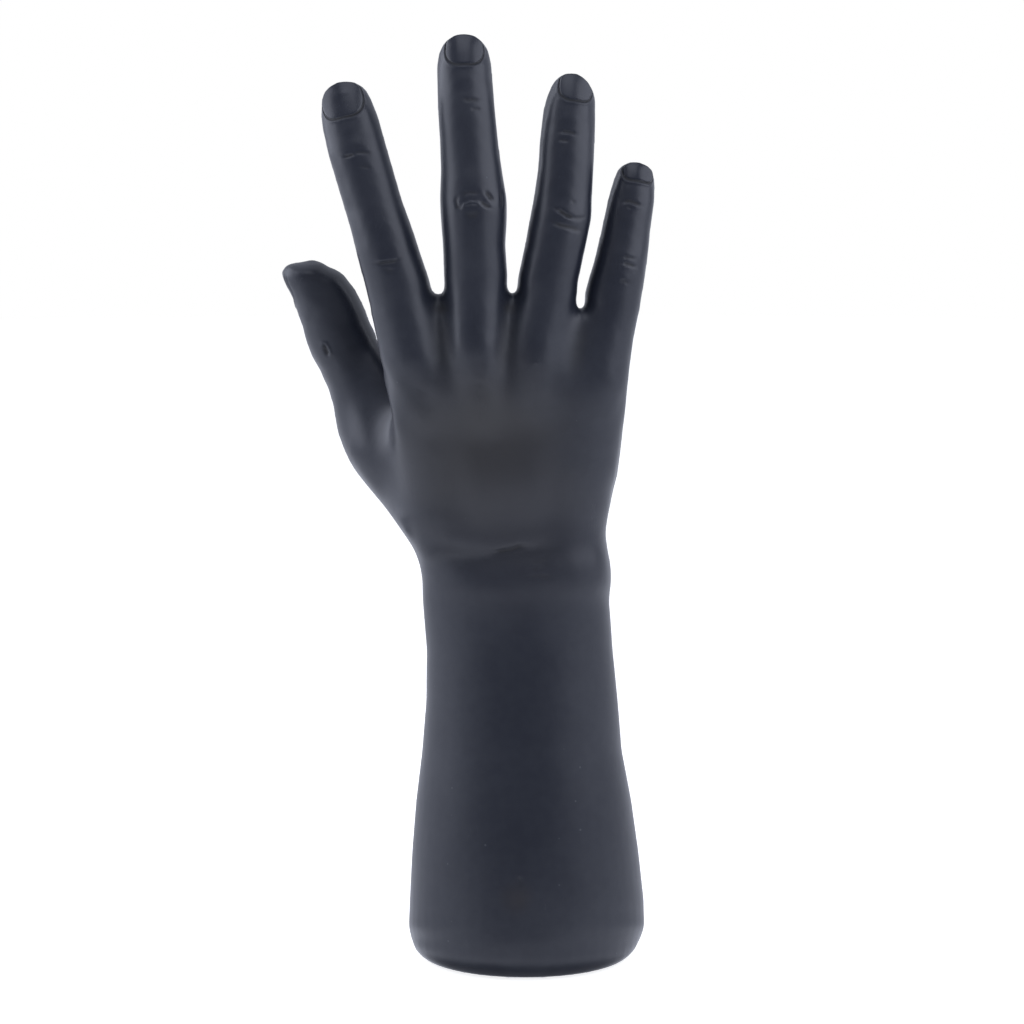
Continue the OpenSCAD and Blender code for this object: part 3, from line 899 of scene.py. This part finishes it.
# %% Folds behind the joints
def cross_fold(name, bone, at, wide, deep, reach=0.9):
    """A fold across the pad side of a finger, at a distance in mm along one of its bones.

    It reaches round both sides, for a share of a quarter turn.
    """
    FOLDS.append({"name": name, "bone": bone, "at": at, "wide": wide, "deep": deep,
                  "reach": reach})


FOLDS = []
# where the fold at each finger's root and the one behind its middle joint lie, in mm
FOLD_PLACES = {"index": (35, 1.2), "middle": (32, 1.5), "ring": (34, 1.2), "little": (31, 0.8)}
for name, (root, joint) in FOLD_PLACES.items():
    cross_fold(name, 0, root, 0.6, 0.55)
    cross_fold(name, 0, root - 2.2, 0.4, 0.22)
    cross_fold(name, 1, joint - 2.6, 0.5, 0.50)
    cross_fold(name, 1, joint + 0.4, 0.4, 0.28)
    cross_fold(name, 2, -0.6, 0.45, 0.42)
cross_fold("thumb", 2, -1.0, 0.6, 0.35, reach=0.45)
cross_fold("thumb", 2, 2.0, 0.5, 0.20, reach=0.4)
cross_fold("thumb", 1, -1.5, 0.7, 0.30, reach=0.4)
print("folds:", len(FOLDS))


def fold_place(fold, points):
    """Distance in mm from a fold's line, and 1 on the pad side of its finger."""
    s, u, v, _, _ = local(fold["name"], fold["bone"], points)
    turn = np.abs(np.arctan2(u, -v)) / (pi / 2)
    return np.abs(s - fold["at"]), 1 - ease(fold["reach"] - 0.25, fold["reach"] + 0.1, turn)


# %% [markdown]
# ### Where the skin needs finer faces
# The even skin has faces of 1.5 mm, and a nail's groove is less than a millimetre wide. Halving
# every edge near a mark, up to three times until it is short enough, puts the points where they
# are needed and leaves the forearm as it is.


# %% Distance to a nail
FAR_OFF = 9.0  # mm, said of the pad side
ROOT_ROUND, EDGE_ROUND = 0.78, 0.30  # the nail's corners, as shares of half its width


def nail_line(name, points):
    """Distance in mm from a nail's outline, below zero inside it, then the share of its length,
    how far the skin lies under the nail's arch, and the way out of it."""
    nail = NAILS[name]
    across, along, s, u, v, out = nail_frame(name, points)
    half_w = np.radians(nail["half"]) * nail["wide"]
    half_l = (nail["edge"] - nail["root"]) / 2
    y = along - half_l
    corner = np.minimum(np.where(y < 0, ROOT_ROUND, EDGE_ROUND) * half_w, half_l)
    qx = np.abs(across) - half_w + corner
    qy = np.abs(y) - half_l + corner
    line = np.minimum(np.maximum(qx, qy), 0) + np.hypot(np.maximum(qx, 0), np.maximum(qy, 0))
    rise = nail_arch(name, along, u)[1] - v if name in FINGERS else np.zeros(len(v))
    return np.where(v > 0, line - corner, FAR_OFF), along / (2 * half_l), rise, out


# %% Distance to the nearest mark
COARSE = 9.0  # mm, where no mark is near
FINEST_STROKE = 0.35  # mm
STROKE_EDGE = 0.8  # the longest edge on a line, in widths of the line
NAIL_EDGE = 0.27  # mm


def wanted_edge(points, normals):
    """The longest edge that the nearest mark allows at each point, in mm."""
    want = np.full(len(points), COARSE)
    nearest = own_finger(points)
    boards = {name: place(points, normals) for name, place in BOARDS.items()}
    for stroke in STROKES:
        at, faces = boards[stroke["board"]]
        low, high = stroke["way"].min(0) - 5, stroke["way"].max(0) + 5
        some = np.where(((at > low) & (at < high)).all(1) & (faces > 0.05))[0]
        gap = along_line(stroke["way"], at[some])[0]
        size = max(stroke["wide"], FINEST_STROKE)
        allowed = STROKE_EDGE * size + 0.5 * np.maximum(gap - 2 * size, 0)
        want[some] = np.minimum(want[some], allowed)
    for fold in FOLDS:
        mine = np.where(nearest == fold["name"])[0]
        gap, on = fold_place(fold, points[mine])
        gap = np.where(on > 0.02, gap, COARSE)
        want[mine] = np.minimum(want[mine], fold["wide"] + 0.5 * np.maximum(gap - 1, 0))
    for name in NAILS:
        mine = np.where(nearest == name)[0]
        gap = np.abs(nail_line(name, points[mine])[0])
        want[mine] = np.minimum(want[mine], NAIL_EDGE + 0.35 * np.maximum(gap - 1.2, 0))
    return want


print("longest edges: nails", NAIL_EDGE, "mm, fine lines", STROKE_EDGE * FINEST_STROKE, "mm")

# %% Halve the long edges
MOST_ROUNDS = 3


def refine(mesh):
    bm = bmesh.new()
    bm.from_mesh(mesh)
    for turn in range(MOST_ROUNDS):
        bm.normal_update()
        edges = list(bm.edges)
        ends = np.array([[v.co[:] for v in e.verts] for e in edges])
        normals = np.array([(e.verts[0].normal + e.verts[1].normal)[:] for e in edges]) / 2
        length = np.linalg.norm(ends[:, 0] - ends[:, 1], axis=1) / MM
        long = np.where(length > 1.35 * wanted_edge(ends.mean(1), normals))[0]
        if not len(long):
            break
        bmesh.ops.subdivide_edges(bm, edges=[edges[i] for i in long], cuts=1, use_grid_fill=True)
        print("round", turn + 1, "halved", len(long), "edges")
    bmesh.ops.triangulate(bm, faces=[f for f in bm.faces if len(f.verts) > 4])
    bm.to_mesh(mesh)
    bm.free()


refine(mesh)
web = Web(mesh)
points = read(mesh.vertices, "co", 3)
normals = normals_of(mesh, points)
fine = 1 - ease(0.6, 1.2, wanted_edge(points, normals))
points = even_out(points, web, 4, fine)
print("refined skin:", len(mesh.polygons), "faces, triangles:",
      sum(len(p.vertices) - 2 for p in mesh.polygons))

# %% [markdown]
# ### Press the marks in
# All heights are added up first and applied once along the normals, so that crossing lines
# deepen each other and their order doesn't matter.

# %% Heights from strokes and folds
normals = normals_of(mesh, points)
nearest = own_finger(points)
height = np.zeros(len(points))
# crease: painted shade in the creases, folds and nail grooves, where the plastic is also duller
crease = np.zeros(len(points))
FINE_GAIN = 1.4  # a fine line is pressed deeper, because the mesh takes some of it away
END_LEFT = 0.15  # how much of a line is left at its very ends
LIP_OUT, LIP_WIDE, LIP_GAIN = 2.0, 1.1, 0.9  # place and width in widths of the line
DEEP_FOR_SHADE, FOLD_FOR_SHADE = 0.35, 0.6  # how deep a line or a fold takes all its painted shade, mm
boards = {name: place(points, normals) for name, place in BOARDS.items()}
for stroke in STROKES:
    at, faces = boards[stroke["board"]]
    gap, side, share = along_line(stroke["way"], at)
    ends = ease(0, stroke["fade"], share) * ease(0, stroke["fade"], 1 - share)
    ends = faces * (END_LEFT + (1 - END_LEFT) * ends)
    wide = stroke["wide"]
    groove = np.exp(-((gap / wide) ** 2)) * ends
    lip_at = (side * np.sign(stroke["lip"] or 1) - LIP_OUT * wide) / (LIP_WIDE * wide)
    beside = np.exp(-(lip_at ** 2)) * (gap < 4 * wide) * ends
    gain = FINE_GAIN if wide < 1 else 1
    height += LIP_GAIN * abs(stroke["lip"]) * beside - gain * stroke["deep"] * groove
    # a line's painted shade grows with its depth
    shade_here = stroke["crease_shade"] * min(max(stroke["deep"], 0) / DEEP_FOR_SHADE, 1)
    crease = np.maximum(crease, groove * shade_here)
for fold in FOLDS:
    mine = nearest == fold["name"]
    gap, on = fold_place(fold, points[mine])
    groove = np.exp(-((gap / fold["wide"]) ** 2)) * on
    height[mine] -= fold["deep"] * groove
    # a fold's painted shade grows with its depth
    crease[mine] = np.maximum(crease[mine], groove * fold["deep"] / FOLD_FOR_SHADE)
points = points + normals * height[:, None] * MM
print("deepest mark:", round(float(height.min()), 2), "mm")

# %% Rub the valleys
# where (pixels), how far the thumb that rubs reaches (mm), how often, and whether only behind
# the hand's bright edge
RUBBED = [
    ([(440, 292), (442, 325), (444, 380)], 4.0, 14, False),
    ([(512, 292), (508, 325), (504, 378)], 4.0, 14, False),
    ([(583, 306), (581, 328), (575, 378)], 4.0, 14, False),
    ([(575, 551), (592, 552)], 8.0, 14, False),
    ([(350, 395), (354, 425), (362, 455)], 6.0, 60, True),
    ([(383, 400), (386, 430), (384, 458)], 5.0, 60, True),
    ([(403, 452), (407, 485)], 6.0, 30, False),
    ([(404, 400), (418, 408), (434, 422)], 9.0, 30, False),
    ([(460, 402), (530, 403), (600, 412)], 8.0, 25, False),
]
at, faces = boards["photo"]
for way, reach, rounds, only_behind in RUBBED:
    rub = faces * grip(way, reach, at)
    if only_behind:
        rub = rub * ease(-9 * MM, -4 * MM, points[:, 1])
    points = rub_flat(points, web, rounds, rub)
print("rubbed places:", len(RUBBED))

# %% Nails
# how deep or high and how wide, in mm: the groove, the lip of skin and the dip outside it
GROOVE, LIP, DIP = (0.50, 0.38), (0.20, 0.50), (0.16, 0.40)
LIP_AT, DIP_AT = 0.85, 1.8
ROOT_SUNK, EDGE_RISE = -0.34, 0.44  # the nail against its arch: at its root, and then its rise
MOST_MOVED = 1.2
GROOVE_FOR_SHADE = 0.34  # how deep the groove takes all its painted shade


def ring_round(gap, size, place):
    """A rounded ridge round the nail, at a distance in mm from its outline."""
    return size[0] * np.exp(-(((gap - place) / size[1]) ** 2))


nail_mask = np.zeros(len(points))
for name in NAILS:
    mine = np.where(nearest == name)[0]
    gap, x, to_arch, out = nail_line(name, points[mine])
    inside = 1 - ease(-0.35, 0.10, gap)
    sides = 1 - ease(0.84, 0.98, x)
    sunk = ROOT_SUNK + EDGE_RISE * ease(0.0, 1.0, x)
    plate = inside * np.clip(to_arch + sunk, -MOST_MOVED, MOST_MOVED)
    groove = ring_round(gap, GROOVE, 0.05) * sides
    lip = ring_round(gap, LIP, LIP_AT) * sides
    dip = ring_round(gap, DIP, DIP_AT) * sides * ease(0.15, 0.5, x)
    points[mine] += out * (plate - groove + lip - dip)[:, None] * MM
    nail_mask[mine] = np.maximum(nail_mask[mine], inside * (gap < 5))
    # the nail's groove takes painted shade as deep as it is
    crease[mine] = np.maximum(crease[mine], np.clip(groove / GROOVE_FOR_SHADE, 0, 1))
print("nail points:", int((nail_mask > 0.5).sum()))

# %% Put the foot flat again
NEARLY_FLAT = 0.25 * MM
points[:, 2] = np.maximum(points[:, 2], 0)
normals = normals_of(mesh, points)
under = (points[:, 2] < NEARLY_FLAT) & (normals[:, 2] < -0.9)
points[under, 2] = 0
mesh.vertices.foreach_set("co", points.ravel())
for name, values in (("nail", nail_mask), ("crease", crease)):
    layer = mesh.attributes.new(name, "FLOAT", "POINT")
    layer.data.foreach_set("value", values.astype(np.float32))
mesh.update()
print("flat under the foot:", int(under.sum()), "points")

# %% [markdown]
# ### Join the hollow again
# The plug's seat and the hollow come from the CAD skin unchanged, so that the plug still sits in
# its real recess. A round hole in the sculpted foot is bridged to the seat's rim.

# %% Open the foot and bridge it to the seat
HOLE_R = 21 * MM
bm = bmesh.new()
bm.from_mesh(mesh)
middle = [
    f for f in bm.faces
    if f.calc_center_median().z < 0.1 * MM and f.calc_center_median().to_2d().length < HOLE_R
]
bmesh.ops.delete(bm, geom=middle, context="FACES")
for vert in {v for e in bm.edges if e.is_boundary for v in e.verts}:
    flat = vert.co.to_2d().normalized() * HOLE_R
    vert.co = (flat.x, flat.y, 0)
seat_mesh = bpy.data.meshes.new("seat")
cavity.to_mesh(seat_mesh)
cavity.free()
bm.from_mesh(seat_mesh)
bpy.data.meshes.remove(seat_mesh)
ring = [e for e in bm.edges if e.is_boundary]
made = bmesh.ops.bridge_loops(bm, edges=ring)["faces"]
bmesh.ops.triangulate(bm, faces=made)
facing_up = sum(f.normal.z > 0 for f in bm.faces if f.calc_center_median().z < 1e-6)
print("bridge:", len(ring), "rim edges,", len(made), "faces; facing up:", facing_up,
      "open edges:", sum(e.is_boundary for e in bm.edges))
bm.to_mesh(mesh)
print("volume of the plastic:", round(bm.calc_volume() * 1e6, 1), "cm3")
bm.free()

# %% [markdown]
# ## The finished piece
# The sculpted skin replaces the CAD skin, which is hidden, and rides on the root body.

# %% Place the skin
hand = bpy.data.objects.new("hand_skin", mesh)
scene.collection.objects.link(hand)
mesh.polygons.foreach_set("use_smooth", np.ones(len(mesh.polygons), bool))
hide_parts("hand_shell")
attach(hand, "root")


# %% [markdown]
# ## Plastic
# Both parts are moulded from the same kind of dark plastic, so their look comes from shared
# groups: a moulded surface with a fine grain, cloudy patches of dullness, thin scuffs and a few
# grains of dust, and a soft spot for a round patch of another colour, where hands have rubbed or
# soiled the plastic, and where painted light lifts it. The skin adds its own: its folds are duller
# and darkened as painted shade, its nails are glossier, the back of the hand is lighter, rubbed
# grey and lifted as painted light where its rise mirrors the dark room, and the forearm has a
# brownish stain low down.

# %% A group's frame
def new_group(name, inputs, outputs):
    """An empty node group with named inputs, each with a kind and a value, and outputs."""
    group = bpy.data.node_groups.new(name, "ShaderNodeTree")
    for label, (kind, value) in inputs.items():
        socket = group.interface.new_socket(label, in_out="INPUT", socket_type=kind)
        socket.default_value = value
    for label, kind in outputs.items():
        group.interface.new_socket(label, in_out="OUTPUT", socket_type=kind)
    taken = node_at(group, "NodeGroupInput", -1500, 0)
    given = node_at(group, "NodeGroupOutput", 900, 0)
    return group, taken.outputs, given.inputs


def texture_at(tree, kind, x, y, place, scale, **settings):
    """A texture node on the given coordinates, with its scale in repeats per metre."""
    return node_at(tree, kind, x, y, {"Vector": place, "Scale": scale}, **settings).outputs


def blend_at(tree, x, y, share, first, second):
    """Mixes two colours by a share from 0 to 1."""
    node = node_at(tree, "ShaderNodeMix", x, y, data_type="RGBA")
    for i, value in ((0, share), (6, first), (7, second)):
        feed(tree, node.inputs[i], value)
    return node.outputs[2]


COLOR, FLOAT, VECTOR = "NodeSocketColor", "NodeSocketFloat", "NodeSocketVector"
print("kinds of socket:", COLOR, FLOAT, VECTOR)


# %% Rubbed or soiled spot
def build_spot():
    """1 in the middle of a spot and 0 from its radius outwards, with an uneven edge."""
    inputs = {"Middle": (VECTOR, (0, 0, 0)), "Radius": (FLOAT, 0.03), "Unevenness": (FLOAT, 0.01)}
    group, taken, given = new_group("soft_spot", inputs, {"Mask": FLOAT})
    place = node_at(group, "ShaderNodeTexCoord", -1300, -300).outputs["Object"]
    far = node_at(group, "ShaderNodeVectorMath", -900, 100, operation="DISTANCE")
    feed(group, far.inputs[0], place)
    feed(group, far.inputs[1], taken["Middle"])
    cloud = texture_at(group, "ShaderNodeTexNoise", -900, -300, place, 60)
    wander = math_at(group, "MULTIPLY", -700, -300, cloud[0], taken["Unevenness"])
    reach = math_at(group, "ADD", -500, 0, far.outputs["Value"], wander)
    share = math_at(group, "DIVIDE", -300, 0, reach, taken["Radius"])
    feed(group, given["Mask"], grade(group, share, 0, 0.25, 1.25, 1, 0))
    return group


soft_spot = build_spot()
print("group:", soft_spot.name, [item.name for item in soft_spot.interface.items_tree])


# %% Moulded surface
def build_flecks(group, place):
    """A few dust grains, and thin scuffs in some places, each a mask from 0 to 1."""
    cells = texture_at(group, "ShaderNodeTexVoronoi", -1200, -100, place, 150)
    chosen = first_out(group, "ShaderNodeSeparateColor", -900, -200, cells["Color"])
    rare = grade(group, chosen, -300, 0.55, 0.60, 0, 1)
    grain = grade(group, cells["Distance"], -100, 0.045, 0.075, 1, 0)
    dust = math_at(group, "MULTIPLY", -50, -100, grain, rare)
    turn = {"Vector": place, "Rotation": (0.35, 0.9, 0.25), "Scale": (1, 1, 0.12)}
    turned = node_at(group, "ShaderNodeMapping", -1300, -700, turn).outputs[0]
    streak = texture_at(group, "ShaderNodeTexNoise", -1100, -700, turned, 330)
    off = math_at(group, "SUBTRACT", -900, -700, streak[0], 0.5)
    line = grade(group, math_at(group, "ABSOLUTE", -700, -700, off), -700, 0, 0.006, 1, 0)
    region = texture_at(group, "ShaderNodeTexNoise", -1100, -900, place, 34)
    here = grade(group, region[0], -900, 0.58, 0.70, 0, 1)
    return dust, math_at(group, "MULTIPLY", -50, -700, line, here)


def build_surface():
    """Clouds, scuffs, dust and grain over a plain colour and roughness."""
    inputs = {"Plain": (COLOR, (0.02, 0.02, 0.02, 1)), "Dusty": (COLOR, (0.1, 0.1, 0.1, 1)),
              "Roughness": (FLOAT, 0.4), "Dust": (FLOAT, 0.5), "Scuffs": (FLOAT, 0.3)}
    outputs = {"Color": COLOR, "Roughness": FLOAT, "Height": FLOAT}
    group, taken, given = new_group("moulded_surface", inputs, outputs)
    place = node_at(group, "ShaderNodeTexCoord", -1500, -500).outputs["Object"]
    cloud = texture_at(group, "ShaderNodeTexNoise", -1200, 300, place, 26)
    clouds = grade(group, cloud[0], 300, 0.38, 0.66, 0, 1)
    mottle = texture_at(group, "ShaderNodeTexNoise", -1200, 100, place, 240)
    mottled = grade(group, mottle[0], 100, 0.30, 0.70, -0.5, 0.5)
    dust, scuff = build_flecks(group, place)
    dust = math_at(group, "MULTIPLY", 100, -100, dust, taken["Dust"])
    scuff = math_at(group, "MULTIPLY", 100, -700, scuff, taken["Scuffs"])
    light = math_at(group, "MAXIMUM", 250, -300, dust, scuff)
    film = math_at(group, "MULTIPLY_ADD", 350, 200, mottled, 0.05, 0.025)
    haze = math_at(group, "MULTIPLY", 300, 400, clouds, 0.07)
    film = math_at(group, "ADD", 450, 200, film, haze)
    dusty = math_at(group, "MAXIMUM", 600, 100, film, light)
    color = blend_at(group, 750, 200, dusty, taken["Plain"], taken["Dusty"])
    dull = math_at(group, "MULTIPLY", 300, 600, clouds, 0.05)
    dull = math_at(group, "ADD", 450, 600, dull, taken["Roughness"])
    more = math_at(group, "MULTIPLY", 450, 500, light, 0.3)
    dull = math_at(group, "ADD", 600, 600, dull, more)
    grain = texture_at(group, "ShaderNodeTexNoise", -1200, -1200, place, 2400)
    swell = texture_at(group, "ShaderNodeTexNoise", -1200, -1400, place, 210)
    height = math_at(group, "MULTIPLY", 0, -1200, grain[0], 0.35)
    height = math_at(group, "ADD", 150, -1200, height, swell[0])
    height = math_at(group, "SUBTRACT", 300, -1200, height, scuff)
    for label, value in (("Color", color), ("Roughness", dull), ("Height", height)):
        feed(group, given[label], value)
    return group


moulded_surface = build_surface()
print("group:", moulded_surface.name, len(moulded_surface.nodes), "nodes")


# %% Plastic of the skin
def start_plastic(name, relief, values):
    """A material with the moulded surface in it, whose height is bumped into its shader."""
    paint = bpy.data.materials.new(name)
    paint.use_nodes = True
    tree = paint.node_tree
    surface = node_at(tree, "ShaderNodeGroup", -900, 200, values, node_tree=moulded_surface)
    height = surface.outputs["Height"]
    bump = node_at(tree, "ShaderNodeBump", -300, -300,
                   {"Strength": 1, "Distance": relief, "Height": height})
    shader = tree.nodes["Principled BSDF"].inputs
    feed(tree, shader["Normal"], bump.outputs[0])
    return paint, tree, surface.outputs, bump, shader


def spot_at(tree, y, middle, radius, unevenness, share):
    """A soft spot in the material, at most as strong as its share."""
    values = {"Middle": middle, "Radius": radius, "Unevenness": unevenness}
    spot = node_at(tree, "ShaderNodeGroup", -900, y, values, node_tree=soft_spot)
    return math_at(tree, "MULTIPLY", -700, y, spot.outputs[0], share)


SKIN = {"Plain": (0.0122, 0.0150, 0.0248, 1), "Dusty": (0.075, 0.081, 0.094, 1),
        "Roughness": 0.345, "Dust": 0.55, "Scuffs": 0.30}
# painted shade: the darker colour that the crease mask lays into creases, folds and grooves
CREASE_SHADE = (0.006, 0.0065, 0.008, 1)
CREASE_SHADE_SHARE, CREASE_DULL, NAIL_SHINE = 0.9, 0.25, 0.11
# y in the editor, middle, radius and unevenness in metres, strength, colour
SPOTS = [
    # the back of the hand, lighter: rubbed grey, and lifted further as painted light where its rise
    # mirrors the dark room
    (500, (-0.015, -0.022, 0.194), 0.046, 0.016, 0.85, (0.0330, 0.0318, 0.0318, 1)),
    # a paler bluish patch lower on the back of the hand
    (900, (-0.004, -0.020, 0.165), 0.038, 0.010, 0.55, (0.0265, 0.0270, 0.0335, 1)),
    (700, (-0.003, -0.034, 0.031), 0.010, 0.008, 0.55, (0.0270, 0.0215, 0.0200, 1)),
]


def build_skin_plastic():
    paint, tree, surface, _, shader = start_plastic("skin_plastic", 0.00003, SKIN)
    crease, nail = [
        node_at(tree, "ShaderNodeAttribute", -900, y, attribute_name=name).outputs["Fac"]
        for name, y in (("crease", -100), ("nail", -250))
    ]
    color = surface["Color"]
    # patches of colour; the upper one on the back of the hand is partly painted light
    for i, (y, *place, share, spot_color) in enumerate(SPOTS):
        spot = spot_at(tree, y, *place, share)
        color = blend_at(tree, -600 + 100 * i, 300, spot, color, spot_color)
    # the crease mask darkens the colour as painted shade and makes the plastic duller
    crease_shade = math_at(tree, "MULTIPLY", -600, -100, crease, CREASE_SHADE_SHARE)
    rough = math_at(tree, "MULTIPLY_ADD", -500, 0, crease_shade, CREASE_DULL, surface["Roughness"])
    shine = math_at(tree, "MULTIPLY", -500, -250, nail, NAIL_SHINE)
    feed(tree, shader["Base Color"], blend_at(tree, -300, 300, crease_shade, color, CREASE_SHADE))
    feed(tree, shader["Roughness"], math_at(tree, "SUBTRACT", -300, 0, rough, shine))
    return paint


skin_plastic = build_skin_plastic()
mesh.materials.clear()
mesh.materials.append(skin_plastic)
print("skin triangles:", sum(len(p.vertices) - 2 for p in mesh.polygons))


# %% [markdown]
# The plug's disc carries rings from its mould. It is more scuffed than the skin, because it lies
# against whatever the hand stands on.


# %% Plastic of the plug
PLUG = {"Plain": (0.022, 0.024, 0.030, 1), "Dusty": (0.120, 0.118, 0.120, 1),
        "Roughness": 0.42, "Dust": 0.9, "Scuffs": 0.9}
WORN = (0.040, 0.040, 0.043, 1)


def build_plug_plastic():
    paint, tree, surface, bump, shader = start_plastic("plug_plastic", 0.00004, PLUG)
    place = node_at(tree, "ShaderNodeTexCoord", -1300, -500).outputs["Object"]
    rings = texture_at(tree, "ShaderNodeTexWave", -1100, -500, place, 160, wave_type="RINGS",
                       rings_direction="Z")["Fac"]
    worn = texture_at(tree, "ShaderNodeTexNoise", -1100, -800, place, 90)
    worn = grade(tree, worn[0], -800, 0.45, 0.65, 0, 0.35)
    rough = math_at(tree, "MULTIPLY_ADD", -300, 0, rings, 0.05, surface["Roughness"])
    ridge = math_at(tree, "MULTIPLY_ADD", -500, -300, rings, 0.6, surface["Height"])
    feed(tree, shader["Base Color"], blend_at(tree, -300, 300, worn, surface["Color"], WORN))
    feed(tree, shader["Roughness"], rough)
    feed(tree, bump.inputs["Height"], ridge)
    return paint


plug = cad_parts["base_plug"]
plug.data.materials.clear()
plug.data.materials.append(build_plug_plastic())
print("plug's material:", plug.data.materials[0].name)
